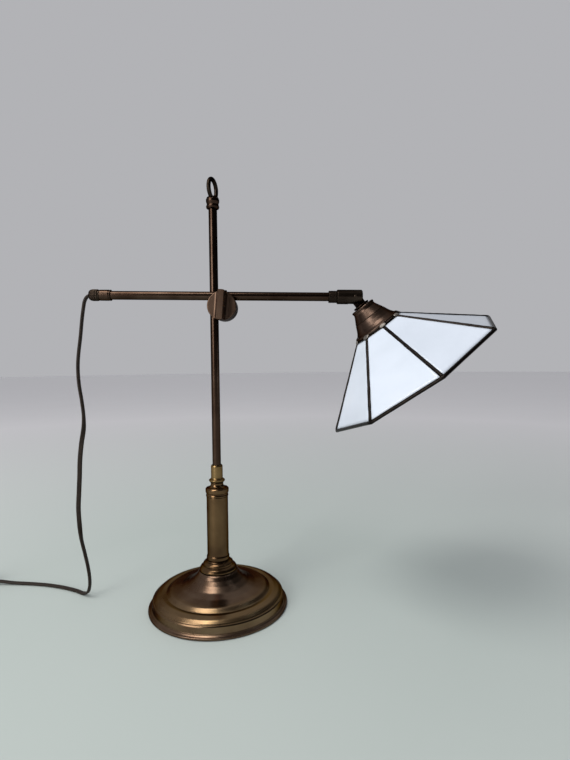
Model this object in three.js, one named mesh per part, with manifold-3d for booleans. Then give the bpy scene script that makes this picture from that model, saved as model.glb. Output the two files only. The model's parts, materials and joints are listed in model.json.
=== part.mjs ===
// Banker desk lamp: a turned brass stand, a cross arm held in a two-way clamp, and an
// octagonal leaded-glass shade on a knuckle. Millimetres, +Z up. The origin is the centre
// of the underside of the felt pad, and the arm runs along +X towards the shade.

import * as THREE from 'three';
import { mergeVertices } from 'three/addons/utils/BufferGeometryUtils.js';
import Module from 'manifold-3d';

const wasm = await Module();
wasm.setup();

// ---- driving dimensions ----
const GAP = 0.3;                 // clearance between pieces that touch
const BORE_GAP = 0.4;            // clearance round a tube in its bore
const TUBE_R = 5;                // mast and arm tube, outside radius
const TUBE_WALL = 1;
const ROD_R = 4.6;               // threaded rod that ties the stand together
const BASE_R = 82.5;             // rim of the base
const MAST_TOP = 470.3;
const MAST_SEAT = 155.6;         // where the mast stands inside its socket
const SCREW_X = 12;              // clamp screw, to the right of the mast
const SCREW_Z = 355;
const ARM_Y = -16;               // the arm passes in front of the mast
const ARM_RISE = 12;             // arm axis above the clamp screw
const ARM_DROOP = 1;             // degrees, shade end low
const CLAMP_R = 15.6;            // the two clamp halves
const SCREW_HOLE_R = 3.3;
const SAW_CUT_HALF = 0.6;        // half width of the cut that lets a clamp half close
const EYE_HALF = 4.8;            // half the length of the boss that grips a tube
const KNOB_R = 16.6;
const GRIP_HALF = 4.1;           // half thickness of the knob's blade-like grip
const KNOB_LEAN = 3;             // degrees, the grip's top leans right
const PIVOT_X = 152;             // shade pivot along the arm, from the clamp screw
const SHADE_TILT = 37.5;         // degrees from square to the arm
const SIDES = 8;                 // of the shade
const SHADE_TOP = { r: 28.5, s: 43.4 };     // corner radius, distance below the pivot
const SHADE_RIM = { r: 110, s: 110 };
const GLASS = 3;                 // glass thickness
const CORD_R = 1.8;              // a round tube stands for the flat flex
const CORD_LIE = 2;              // cord axis above the table

// the cord's loose end, lying on the table behind and to the left of the stand
const COIL = { x: -415, y: 22.9, low: 1.2, middle: 28.4, half: 5.7, high: 12.9 };
const SWITCH = { x: -335, y: 54, long: 56, wide: 24, high: 14 };
const PLUG = { back: -372, y: -10, neck: 14, long: 36, wide: 35, high: 14 };

// ---- materials ----
const paint = (color, roughness, metalness) => ({ color, roughness, metalness });
const AGED_BRASS = paint(0x6b5236, 0.42, 1);
const DARK_BRASS = paint(0x4a3a2d, 0.45, 1);
const BRIGHT_BRASS = paint(0x8a6a3c, 0.35, 1);
const IRON = paint(0x3a3a3c, 0.7, 0.6);
const STEEL = paint(0x9a9a98, 0.4, 1);
const FELT = paint(0x2f4a38, 1, 0);
const OPAL = paint(0xe1ecff, 0.25, 0);
const SOLDER = paint(0x2c2823, 0.5, 0.8);
const CORD = paint(0x4a3524, 0.8, 0);
const BLACK = paint(0x1c1b1a, 0.5, 0);
const LAMP_GLASS = paint(0xf4f4ee, 0.3, 0);

// ---- solids ----
function clean(geometry) {
  // merges shared vertices, drops flat triangles and turns the faces outward
  const bare = geometry.clone();
  bare.deleteAttribute('normal');
  bare.deleteAttribute('uv');
  const merged = mergeVertices(bare, 1e-4);
  const position = merged.attributes.position;
  const index = [];
  let volume = 0;
  const a = new THREE.Vector3();
  const b = new THREE.Vector3();
  const c = new THREE.Vector3();
  for (let i = 0; i < merged.index.count; i += 3) {
    const [p, q, r] = [0, 1, 2].map((k) => merged.index.getX(i + k));
    if (p === q || q === r || r === p) continue;
    index.push(p, q, r);
    a.fromBufferAttribute(position, p);
    b.fromBufferAttribute(position, q);
    c.fromBufferAttribute(position, r);
    volume += a.dot(b.cross(c));
  }
  if (volume < 0) index.reverse();
  merged.setIndex(index);
  return merged;
}

function toManifold(geometry) {
  const solid = clean(geometry);
  return new wasm.Manifold(new wasm.Mesh({
    numProp: 3,
    vertProperties: new Float32Array(solid.attributes.position.array),
    triVerts: new Uint32Array(solid.index.array),
  }));
}

function fromManifold(manifold) {
  const mesh = manifold.getMesh();
  const geometry = new THREE.BufferGeometry();
  geometry.setAttribute('position', new THREE.BufferAttribute(mesh.vertProperties, 3));
  geometry.setIndex(new THREE.BufferAttribute(mesh.triVerts, 1));
  return geometry;
}

function carve(body, cuts, joins = []) {
  let result = toManifold(body);
  for (const join of joins) result = result.add(toManifold(join));
  for (const cut of cuts) result = result.subtract(toManifold(cut));
  return fromManifold(result);
}

function turned(profile, segments = 24) {
  // profile: [radius, height] points; one that doesn't start and end on the axis is closed
  const onAxis = profile[0][0] === 0 && profile[profile.length - 1][0] === 0;
  const points = onAxis ? profile : [...profile, profile[0]];
  const geometry = new THREE.LatheGeometry(points.map(([r, z]) => new THREE.Vector2(r, z)), segments);
  return geometry.rotateX(Math.PI / 2);
}

function ring(inner, outer, low, high, segments) {
  return turned([[inner, low], [outer, low], [outer, high], [inner, high]], segments);
}

function disc(radius, low, high, segments) {
  return turned([[0, low], [radius, low], [radius, high], [0, high]], segments);
}

const alongX = (geometry) => geometry.rotateY(Math.PI / 2);       // the height axis becomes +X
const alongY = (geometry) => geometry.rotateX(-Math.PI / 2);      // the height axis becomes +Y

function block(x, y, z) {
  // a box given by its [low, high] along each axis
  const size = [x, y, z].map(([low, high]) => high - low);
  const middle = [x, y, z].map(([low, high]) => (high + low) / 2);
  return new THREE.BoxGeometry(...size).translate(...middle);
}

function prism(outline, low, high) {
  const shape = new THREE.Shape(outline.map(([x, y]) => new THREE.Vector2(x, y)));
  const geometry = new THREE.ExtrudeGeometry(shape, { depth: high - low, bevelEnabled: false });
  return geometry.translate(0, 0, low);
}

function arc(x, y, radius, from, to, steps) {
  return Array.from({ length: steps + 1 }, (_, i) => {
    const angle = THREE.MathUtils.degToRad(from + ((to - from) * i) / steps);
    return [x + radius * Math.cos(angle), y + radius * Math.sin(angle)];
  });
}

function piece(name, geometry, look) {
  const mesh = new THREE.Mesh(clean(geometry), new THREE.MeshStandardMaterial(look));
  mesh.geometry.computeVertexNormals();
  mesh.name = name;
  return mesh;
}

// ---- stand ----
function makeStand() {
  const shellOuter = [
    [BASE_R, 0.6], [BASE_R, 3.2], [79.4, 4.6], [78.2, 5.4], [77.6, 12.6], [76.4, 14.4], [72.5, 16.6],
    [66, 18.7], [61.2, 19], [59.2, 21.2], [54, 23.4], [44, 25], [36, 28.2], [30, 32.8], [25.6, 37.8],
    [22.4, 42.4],
  ];
  const shellInner = [
    [5.6, 42.4], [5.6, 40.8], [20.8, 40.8], [24.2, 36.2], [35, 26.8], [52, 21.8], [60, 17.4],
    [72, 14.6], [76.2, 12], [77, 0.6],
  ];
  const column = [
    [11.6, 54.8], [13.6, 54.8], [13.6, 60], [12.8, 60.6], [12.8, 131], [11.6, 131],
  ];
  const foot = [
    [5.6, 42.7], [22, 42.7], [22.2, 44], [20.4, 47], [18, 48.8], [17.4, 51], [15.4, 53.2],
    [13.6, 54.5], [5.6, 54.5],
  ];
  const cap = [
    [5.6, 126], [11.2, 126], [11.2, 131.3], [13.4, 131.3], [13, 134.4], [13.8, 136], [13.8, 140.4],
    [9, 143], [7.5, 145.8], [8.6, 148.4], [5.6, 148.4],
  ];
  const socket = [
    [5.3, 148.8], [9.4, 148.8], [9.4, 151.7], [7, 151.9], [7, 168.7], [5.3, 168.7],
  ];
  const weight = ring(5.2, 70, 2.6, 13.6, 28);
  const nutPocket = disc(12.6, 2, 11, 16);
  return [
    piece('felt_pad', disc(76.6, 0, 2.2, 32), FELT),
    piece('base_shell', turned([...shellOuter, ...shellInner], 32), AGED_BRASS),
    piece('base_weight', carve(weight, [nutPocket]), IRON),
    piece('base_washer', ring(ROD_R + GAP, 11.4, 9.4, 10.6, 16), STEEL),
    piece('base_nut', carve(disc(9.8, 3.2, 9, 6), [disc(ROD_R + GAP, 0, 20, 20)]), STEEL),
    piece('tie_rod', disc(ROD_R, 2.8, MAST_SEAT - 0.4, 12), STEEL),
    piece('column_foot', turned(foot), AGED_BRASS),
    piece('column_tube', turned(column), AGED_BRASS),
    piece('column_cap', turned(cap), AGED_BRASS),
    piece('mast_socket', turned(socket), BRIGHT_BRASS),
  ];
}

// ---- mast ----
const RING = { z: 494.2, r: 11, wire: 2.3, turn: 15 };   // the eye ring, turned from the Y axis

function makeMast() {
  const bead = [
    [0, 463], [3.6, 463], [3.6, 470.6], [7.7, 470.6], [7.7, 474.6], [7, 475.6], [7.7, 477.2],
    [7.7, 482.4], [6.6, 485.3], [0, 485.3],
  ];
  const turn = THREE.MathUtils.degToRad(90 - RING.turn);
  const slotHalf = RING.wire + GAP;
  const slot = block([-9, 9], [-slotHalf, slotHalf], [480.4, 490]).rotateZ(turn);
  const eye = new THREE.TorusGeometry(RING.r, RING.wire, 8, 20);
  eye.rotateX(Math.PI / 2).rotateZ(turn).translate(0, 0, RING.z);
  return [
    piece('mast_tube', ring(TUBE_R - TUBE_WALL, TUBE_R, MAST_SEAT, MAST_TOP, 20), DARK_BRASS),
    piece('finial', carve(turned(bead), [slot]), DARK_BRASS),
    piece('finial_ring', eye, DARK_BRASS),
  ];
}

// ---- clamp ----
function makeClampRear() {
  const body = alongY(disc(CLAMP_R, -7.4, 7.6, 28)).translate(SCREW_X, 0, SCREW_Z);
  const eye = disc(7.4, SCREW_Z - EYE_HALF, SCREW_Z + EYE_HALF, 20);
  const bore = disc(TUBE_R + BORE_GAP, SCREW_Z - 20, SCREW_Z + 20, 20);
  const hole = alongY(disc(SCREW_HOLE_R, -20, 20, 12)).translate(SCREW_X, 0, SCREW_Z);
  const cut = block([2, 40], [-SAW_CUT_HALF, SAW_CUT_HALF], [SCREW_Z - 20, SCREW_Z + 20]);
  const nut = alongY(turned([[0, 7.9], [6.8, 7.9], [6.8, 10.6], [5.4, 12.4], [0, 12.4]], 6));
  nut.translate(SCREW_X, 0, SCREW_Z);
  return [
    piece('clamp_rear', carve(body, [bore, hole, cut], [eye]), DARK_BRASS),
    piece('clamp_nut', carve(nut, [hole]), DARK_BRASS),
  ];
}

function makeClampFront() {
  // in the arm's frame: origin on the screw axis, level with the arm's depth
  const body = alongY(disc(CLAMP_R, -6.9, 6.8, 28));
  const eye = alongX(disc(6.8, -EYE_HALF, EYE_HALF, 20)).translate(0, 0, ARM_RISE);
  const bore = alongX(disc(TUBE_R + BORE_GAP, -30, 30, 20)).translate(0, 0, ARM_RISE);
  const hole = alongY(disc(SCREW_HOLE_R, -20, 20, 12));
  const cut = block([-30, 30], [-SAW_CUT_HALF, SAW_CUT_HALF], [-30, ARM_RISE - 2]);
  return [
    piece('clamp_front', carve(body, [bore, hole, cut], [eye]), DARK_BRASS),
    piece('clamp_washer', alongY(ring(SCREW_HOLE_R + 0.2, 12.6, 7.1, 8.3, 16)), BLACK),
  ];
}

function makeKnob() {
  const face = -11;
  const grip = block([-GRIP_HALF, GRIP_HALF], [face - 14.5, face + 1], [-KNOB_R, KNOB_R]);
  const outline = alongY(disc(KNOB_R, face - 20, face + 2, 28));
  const blade = fromManifold(toManifold(grip).intersect(toManifold(outline)));
  const plate = alongY(turned([
    [0, face], [KNOB_R, face], [KNOB_R, face + 3.4], [KNOB_R - 0.6, face + 3.8], [0, face + 3.8],
  ], 28));
  const thread = alongY(disc(SCREW_HOLE_R, face - 7, face + 6, 12));
  return [
    piece('clamp_knob', carve(plate, [thread], [blade]), AGED_BRASS),
    piece('clamp_screw', alongY(disc(3, face - 6.6, 28, 12)), STEEL),
  ];
}

// ---- arm ----
function makeArm() {
  const sleeve = [
    [5.4, -140.3], [6.3, -140.3], [6.3, -128.2], [5.4, -128.2],
  ];
  const gland = [
    [4.6, -152.7], [5.4, -152.4], [6.7, -148], [6.7, -143.4], [6.1, -140.6], [3.4, -140.6], [3.4, -150],
  ];
  const collar = [
    [5.4, 121.7], [6.95, 121.7], [6.95, 130.8], [5.4, 130.8],
  ];
  const along = (geometry) => alongX(geometry).translate(0, 0, ARM_RISE);
  return [
    piece('arm_tube', along(ring(TUBE_R - TUBE_WALL, TUBE_R, -139.8, 130.4, 20)), DARK_BRASS),
    piece('inner_lead', along(disc(2, -146.4, 116, 8)), CORD),
    piece('gland_sleeve', along(turned(sleeve, 20)), DARK_BRASS),
    piece('cord_gland', along(turned(gland, 20)), DARK_BRASS),
    piece('arm_collar', along(turned(collar, 20)), DARK_BRASS),
  ];
}

// ---- knuckle ----
const TONGUE = { half: 6, thick: 2.9, end: 11 };    // half width, half thickness, flange depth
const PIN_R = 1.7;

function makeKnuckle() {
  const sleeve = alongX(turned([
    [2.3, 118], [3.7, 118], [3.7, 131.1], [7.8, 131.1], [8.3, 131.7], [8.3, 158.6],
    [6.8, 160.1], [2.3, 160.1],
  ])).translate(0, 0, ARM_RISE);
  const slotHalf = TONGUE.thick + 0.4;
  const slotTop = ARM_RISE + TONGUE.half + GAP;
  const slot = block([PIVOT_X - 8, PIVOT_X + 20], [-slotHalf, slotHalf], [ARM_RISE - 20, slotTop]);
  const hole = alongY(disc(PIN_R + GAP, -20, 20, 12)).translate(PIVOT_X, 0, ARM_RISE);
  const pin = alongY(disc(PIN_R, -7.9, 7.9, 12)).translate(PIVOT_X, 0, ARM_RISE);
  return [
    piece('knuckle_sleeve', carve(sleeve, [slot, hole]), DARK_BRASS),
    piece('knuckle_pin', pin, DARK_BRASS),
  ];
}

// ---- shade: its own frame has the pivot as origin and hangs along -Z ----
const slope = (SHADE_RIM.r - SHADE_TOP.r) / (SHADE_RIM.s - SHADE_TOP.s);
const cornerRadius = (s) => SHADE_TOP.r + (s - SHADE_TOP.s) * slope;
const HALF_SIDE = Math.PI / SIDES;

function openShell(outer, inner) {
  // both outlines meet the axis at the far end, so the shell is open at its mouth
  const solid = (profile) => {
    const mouth = profile[0][0] === 0 ? profile[profile.length - 1] : profile[0];
    const points = profile[0][0] === 0 ? [...profile] : [...profile].reverse();
    return turned([...points, [0, mouth[1]]].map(([r, s]) => [r, -s]), 20);
  };
  const core = solid(inner).translate(0, 0, 0.01);
  return carve(solid(outer), [core]);
}

function makeShadeFittings() {
  const tongueOutline = [
    ...arc(0, 0, TONGUE.half, 0, 180, 12), [-TONGUE.half, -7.4], [-7.4, -TONGUE.end - 0.2],
    [7.4, -TONGUE.end - 0.2], [TONGUE.half, -7.4],
  ];
  const plate = prism(tongueOutline, -TONGUE.thick, TONGUE.thick).rotateX(Math.PI / 2);
  const flange = disc(10.6, -12.9, -TONGUE.end, 20);
  const stem = disc(4.9, -24, -12, 16);
  const hole = alongY(disc(PIN_R + GAP, -20, 20, 12));
  const capOuter = [
    [5.4, 13.3], [13.9, 13.3], [14.3, 19.4], [18.6, 26.8], [24.8, 38.8], [28, 41.8], [28, 43],
  ];
  const capInner = [
    [26.6, 43], [23.6, 39.6], [17.4, 27.4], [13, 20], [12.9, 14.5], [5.4, 14.5],
  ];
  const down = (profile) => profile.map(([r, s]) => [r, -s]);
  const holder = [
    [5.3, 14.9], [11.8, 14.9], [11.8, 53], [7.4, 53], [7.4, 32], [5.3, 32],
  ];
  const shadeRing = [
    [12.1, 49.1], [27, 49.1], [27, 50.9], [14.4, 50.9], [14.4, 52.6], [12.1, 52.6],
  ];
  const bulbCap = disc(6.9, -53, -33, 16);
  const bulbOuter = [
    [6.6, 53.4], [12, 60.4], [19.4, 68], [22.5, 80], [19.4, 91.6], [11.2, 99.6], [0, 102.5],
  ];
  const bulbInner = [[0, 101.2], [17, 91.4], [21.3, 80], [17, 67.4], [5.4, 53.4]];
  return [
    piece('knuckle_tongue', carve(plate, [hole], [flange, stem]), DARK_BRASS),
    piece('shade_cap', turned(down([...capOuter, ...capInner])), AGED_BRASS),
    piece('lampholder', turned(down(holder), 20), BLACK),
    piece('lampholder_ring', turned(down(shadeRing), 20), BLACK),
    piece('bulb_cap', bulbCap, STEEL),
    piece('bulb_glass', openShell(bulbOuter, bulbInner), LAMP_GLASS),
  ];
}

function makeGlass() {
  // one flat pane for each side, inset from the lead around it
  const inradius = (s) => cornerRadius(s) * Math.cos(HALF_SIDE);
  const top = new THREE.Vector3(inradius(SHADE_TOP.s), 0, -SHADE_TOP.s);
  const rim = new THREE.Vector3(inradius(SHADE_RIM.s), 0, -SHADE_RIM.s);
  const down = rim.clone().sub(top).normalize();
  const across = new THREE.Vector3(0, 1, 0);
  const out = across.clone().cross(down).negate();
  const slant = rim.distanceTo(top);
  const halfAt = (v) => {
    const s = SHADE_TOP.s + ((SHADE_RIM.s - SHADE_TOP.s) * v) / slant;
    return cornerRadius(s) * Math.sin(HALF_SIDE) - 2.75;
  };
  const start = 4.6;
  const end = slant - 2.9;
  const outline = [
    [-halfAt(start), start], [halfAt(start), start], [halfAt(end), end], [-halfAt(end), end],
  ];
  return Array.from({ length: SIDES }, (_, k) => {
    const pane = prism(outline, -GLASS, 0);
    pane.applyMatrix4(new THREE.Matrix4().makeBasis(across, down, out));
    pane.translate(top.x, 0, top.z);
    pane.rotateZ((2 * k + 1) * HALF_SIDE);
    return piece(`glass_pane_${k + 1}`, pane, OPAL);
  });
}

function makeLead() {
  const low = SHADE_RIM.s - 2;
  const high = SHADE_TOP.s + 3.1;
  const from = new THREE.Vector3(cornerRadius(high), 0, -high);
  const to = new THREE.Vector3(cornerRadius(low), 0, -low);
  const down = to.clone().sub(from).normalize();
  const across = new THREE.Vector3(0, 1, 0);
  const out = across.clone().cross(down).negate();
  const section = [[-2, 0.8], [2, 0.8], [1.1, -3.6], [-1.1, -3.6]];
  const seams = Array.from({ length: SIDES }, (_, k) => {
    const bar = prism(section, 0, from.distanceTo(to));
    bar.applyMatrix4(new THREE.Matrix4().makeBasis(across, out, down));
    bar.translate(from.x, 0, from.z);
    bar.rotateZ(2 * k * HALF_SIDE);
    return piece(`seam_lead_${k + 1}`, bar, SOLDER);
  });
  // an edge lead wraps the pane edges; its section leans with the slope
  const along = new THREE.Vector2(slope, 1).normalize();
  const square = new THREE.Vector2(along.y, -along.x);
  const edge = (s, half) => {
    const at = (u, v) => [
      cornerRadius(s) + along.x * u + square.x * v,
      -(s + along.y * u + square.y * v),
    ];
    const profile = [at(-half, 0.9), at(half, 0.9), at(half, -3.7), at(-half, -3.7)];
    return turned(profile, SIDES);
  };
  return [
    ...seams,
    piece('rim_lead', edge(SHADE_RIM.s, 2.4), SOLDER),
    piece('top_lead', edge(SHADE_TOP.s + 1.6, 1.5), SOLDER),
  ];
}

// ---- cord ----
const HANG_ROUTE = [
  [-140.9, -16, 369.4], [-144.2, -16, 367.2], [-146.6, -16, 363], [-148.1, -16, 356],
  [-150.1, -16, 343], [-152.6, -16, 321.4], [-155.3, -16, 301.9], [-156.4, -16, 287.4],
  [-155.7, -16, 268], [-153, -16, 248.3], [-151.3, -16, 231.2],
  [-152, -15, 216.4], [-155.3, -14, 199], [-158.5, -12, 178.8], [-160.8, -9, 158.3],
  [-163.8, -5, 137.2], [-166.6, -1, 118.2], [-167.7, 3, 99], [-167, 6, 77.2], [-164.1, 8, 59],
  [-161.4, 9.4, 42], [-160.4, 11, 28], [-161.6, 13.6, 16], [-165.6, 17.6, 6.6],
  [-173, 23, CORD_LIE + 0.4], [-186, 31, CORD_LIE], [-206, 40, CORD_LIE],
  [-230, 47.4, CORD_LIE], [-254, 51.8, CORD_LIE], [-278, 53.8, 2.6], [-294, 54, 4.4],
  [-306.7, 54, 5.6],
];
const RUN_ROUTE = [[-363.3, 54, 5.6], [-374, 54, 4.6], [-385, 54, 3.2], [-395, 54, 2.4]];
const TAIL_ROUTE = [[-396, -8.3, 11.4], [-388, -8.8, 9.6], [-380, -9.8, 7.6], [-372.5, -10, 7]];

function cordTube(name, route) {
  const curve = new THREE.CatmullRomCurve3(route.map((p) => new THREE.Vector3(...p)), false, 'centripetal');
  const section = arc(0, 0, CORD_R, 0, 315, 7).map(([x, y]) => new THREE.Vector2(x, y));
  const steps = Math.min(78, Math.max(4, Math.round(curve.getLength() / (CORD_R * 4))));
  const tube = new THREE.ExtrudeGeometry(new THREE.Shape(section), { steps, extrudePath: curve });
  return piece(name, tube, CORD);
}

function makeSwitch() {
  const { x, y, long, wide, high } = SWITCH;
  const end = 7;
  const outline = [
    [-long / 2, -wide / 4], [-long / 2 + end, -wide / 2], [long / 2 - end, -wide / 2],
    [long / 2, -wide / 4], [long / 2, wide / 4], [long / 2 - end, wide / 2],
    [-long / 2 + end, wide / 2], [-long / 2, wide / 4],
  ];
  const shell = prism(outline, 0.1, high);
  const pocket = block([-8.7, 8.7], [-4.9, 4.9], [7.4, high + 4]);
  const pivot = 11.4;
  const tilt = THREE.MathUtils.degToRad(8);
  const rockerOutline = [[-8, 0], [-6, -2.6], [6, -2.6], [8, 0], [8, 2.8], [0, 4.4], [-8, 2.8]];
  const rocker = prism(rockerOutline, -4.5, 4.5).rotateX(Math.PI / 2).rotateY(tilt);
  return [
    piece('switch_body', carve(shell, [pocket]).translate(x, y, 0), BLACK),
    piece('switch_rocker', rocker.translate(x, y, pivot), BLACK),
  ];
}

function makePlug() {
  const { back, y, neck, long, wide, high } = PLUG;
  const front = back + neck + long;
  const middle = 0.1 + high / 2;
  const outline = [
    [back, -3.6], [back + neck, -5.4], [back + neck + 8, -wide / 2], [front, -wide / 2],
    [front, wide / 2], [back + neck + 8, wide / 2], [back + neck, 5.4], [back, 3.6],
  ];
  const slab = prism(outline, 0.1, 0.1 + high);
  const pin = (side) => alongX(disc(2, front + GAP, front + 19, 10)).translate(0, y + side * 9.3, middle);
  return [
    piece('plug_body', slab.translate(0, y, 0), BLACK),
    piece('plug_pin_1', pin(-1), STEEL),
    piece('plug_pin_2', pin(1), STEEL),
  ];
}

function makeCoil() {
  const { x, y, low, middle, half, high } = COIL;
  const coil = ring(middle - half, middle + half, low, low + high, 32).translate(x, y, 0);
  const room = half + 0.5;
  const band = block([-4, 4], [middle - room - 0.8, middle + room + 0.8], [0.1, low + high + 1.1]);
  const inside = block([-9, 9], [middle - room, middle + room], [0.9, low + high + 0.3]);
  const tie = carve(band, [inside]).rotateZ(Math.PI / 2).translate(x, y, 0);
  return [piece('cord_coil', coil, CORD), piece('cord_tie', tie, BLACK)];
}

// ---- assembly ----
const lamp = new THREE.Group();
lamp.add(...makeStand(), ...makeMast(), ...makeClampRear());

const arm = new THREE.Group();
arm.position.set(SCREW_X, ARM_Y, SCREW_Z);
arm.rotation.y = THREE.MathUtils.degToRad(ARM_DROOP);
arm.add(...makeClampFront(), ...makeArm(), ...makeKnuckle());
lamp.add(arm);

const knob = new THREE.Group();
knob.rotation.y = THREE.MathUtils.degToRad(KNOB_LEAN);
knob.add(...makeKnob());
arm.add(knob);

const shade = new THREE.Group();
shade.position.set(PIVOT_X, 0, ARM_RISE);
shade.rotation.y = THREE.MathUtils.degToRad(-SHADE_TILT);
shade.add(...makeShadeFittings(), ...makeGlass(), ...makeLead());
arm.add(shade);

lamp.add(
  cordTube('cord_hang', HANG_ROUTE),
  cordTube('cord_run', RUN_ROUTE),
  cordTube('cord_tail', TAIL_ROUTE),
  ...makeSwitch(),
  ...makeCoil(),
  ...makePlug(),
);

export default lamp;
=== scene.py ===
"""Banker desk lamp: its looks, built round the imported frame.

Metres, +Z up, in the frame's own coordinates. The profile tables are in millimetres, as [radius, height] points
with an optional third value, the radius that the corner is rounded to.
"""

import json
import math

import bmesh
import bpy
from mathutils import Matrix, Vector, noise


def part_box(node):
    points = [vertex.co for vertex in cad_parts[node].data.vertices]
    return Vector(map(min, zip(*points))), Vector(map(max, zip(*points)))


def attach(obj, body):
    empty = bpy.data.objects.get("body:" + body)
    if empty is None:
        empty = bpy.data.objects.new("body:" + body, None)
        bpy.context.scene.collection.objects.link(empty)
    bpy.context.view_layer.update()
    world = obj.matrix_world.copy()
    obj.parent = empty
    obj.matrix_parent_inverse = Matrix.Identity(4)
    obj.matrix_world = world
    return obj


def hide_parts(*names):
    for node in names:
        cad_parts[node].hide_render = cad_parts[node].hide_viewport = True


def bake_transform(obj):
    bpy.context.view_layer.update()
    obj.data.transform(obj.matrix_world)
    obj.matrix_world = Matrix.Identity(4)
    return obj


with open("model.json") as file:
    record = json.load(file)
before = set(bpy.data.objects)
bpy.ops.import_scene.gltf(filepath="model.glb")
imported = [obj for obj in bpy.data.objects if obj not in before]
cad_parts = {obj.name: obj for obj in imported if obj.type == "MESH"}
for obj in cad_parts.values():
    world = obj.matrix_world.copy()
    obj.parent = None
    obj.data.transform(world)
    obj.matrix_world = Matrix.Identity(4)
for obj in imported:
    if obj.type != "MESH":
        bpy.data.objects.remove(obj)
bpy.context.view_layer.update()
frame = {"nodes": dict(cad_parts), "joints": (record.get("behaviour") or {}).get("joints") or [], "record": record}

MM = 0.001
UP = Vector((0, 0, 1))
joints = {j["name"]: j for j in frame["joints"]}

# ---- places, from the frame ----
SCREW = Vector(joints["arm_tilt"]["pos_m"])
ARM_AXIS = Vector(joints["arm_slide"]["axis"])
PIVOT = Vector(joints["shade_tilt"]["pos_m"])
ROCKER_PIVOT = Vector(joints["switch_rock"]["pos_m"])
PIVOT_ALONG = 152 * MM                 # of the pivot along the arm, from the clamp screw
SHADE_TILT = math.radians(36.5)        # of the shade's axis from the plumb line
KNOB_LEAN = math.radians(4)
SIDES = 8
SHADE_TOP = (28.5, 43.4)               # corner radius and distance below the pivot, in mm
SHADE_RIM = (110.0, 110.0)
CORD_WIDE = 5.4 * MM
CORD_THICK = 3.2 * MM


def axes(origin, z_axis, x_hint):
    """The matrix of a frame at origin whose Z is z_axis and whose X is as near x_hint as it can be."""
    z = Vector(z_axis).normalized()
    x = Vector(x_hint)
    x = (x - z * x.dot(z)).normalized()
    y = z.cross(x)
    turn = Matrix((x, y, z)).transposed().to_4x4()
    return Matrix.Translation(origin) @ turn


STAND = Matrix.Identity(4)
ARM = axes(PIVOT - ARM_AXIS * PIVOT_ALONG, ARM_AXIS, (0, 0, 1))
SHADE_AXIS = Vector((math.sin(SHADE_TILT), 0, -math.cos(SHADE_TILT)))
SHADE = axes(PIVOT, SHADE_AXIS, (1, 0, 0))
REAR = axes((SCREW.x, 0, SCREW.z), (0, 1, 0), (1, 0, 0))
FRONT = axes(SCREW, (0, 1, 0), ARM_AXIS)


# ---- camera ----
LENS = 22.97
SENSOR = 36.0


def make_camera():
    pitch = math.radians(-2.19)
    roll = math.radians(-0.59)
    data = bpy.data.cameras.new("camera")
    data.sensor_width = SENSOR
    data.lens = LENS
    camera = bpy.data.objects.new("camera", data)
    ahead = Vector((0, math.cos(pitch), math.sin(pitch)))
    level_right = Vector((1, 0, 0))
    level_up = level_right.cross(ahead)
    right = level_right * math.cos(roll) + level_up * math.sin(roll)
    up = level_up * math.cos(roll) - level_right * math.sin(roll)
    turn = Matrix((right, up, -ahead)).transposed().to_4x4()
    camera.matrix_world = Matrix.Translation((0.0828, -0.5767, 0.2912)) @ turn
    bpy.context.scene.collection.objects.link(camera)
    bpy.context.scene.camera = camera


make_camera()


# ---- mesh tools ----
def mesh_object(name, verts, faces, matrix=STAND, smooth=True):
    mesh = bpy.data.meshes.new(name)
    mesh.from_pydata([tuple(v) for v in verts], [], faces)
    mesh.validate()
    bm = bmesh.new()
    bm.from_mesh(mesh)
    bmesh.ops.recalc_face_normals(bm, faces=bm.faces)
    bm.to_mesh(mesh)
    bm.free()
    for polygon in mesh.polygons:
        polygon.use_smooth = smooth
    obj = bpy.data.objects.new(name, mesh)
    obj.matrix_world = matrix
    bpy.context.scene.collection.objects.link(obj)
    return obj


def rounded(profile, closed, fillet=0.35, steps=4):
    """The profile with each corner turned into an arc, and a holding point beside each arc."""
    points = [Vector(p[:2]) for p in profile]
    radii = [p[2] if len(p) > 2 else fillet for p in profile]
    out = []
    count = len(points)
    for i, here in enumerate(points):
        if not closed and i in (0, count - 1):
            out.append(here)
            continue
        back = points[i - 1] - here
        on = points[(i + 1) % count] - here
        turn = math.pi - back.angle(on)
        if turn < math.radians(3) or radii[i] <= 0:
            out.append(here)
            continue
        reach = min(radii[i] * math.tan(turn / 2), 0.42 * back.length, 0.42 * on.length)
        a = here + back.normalized() * reach
        b = here + on.normalized() * reach
        hold = 0.25 * reach
        out.append(a + back.normalized() * hold)
        for k in range(steps + 1):
            t = k / steps
            out.append(a * (1 - t) ** 2 + here * 2 * t * (1 - t) + b * t ** 2)
        out.append(b + on.normalized() * hold)
    return out


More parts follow.
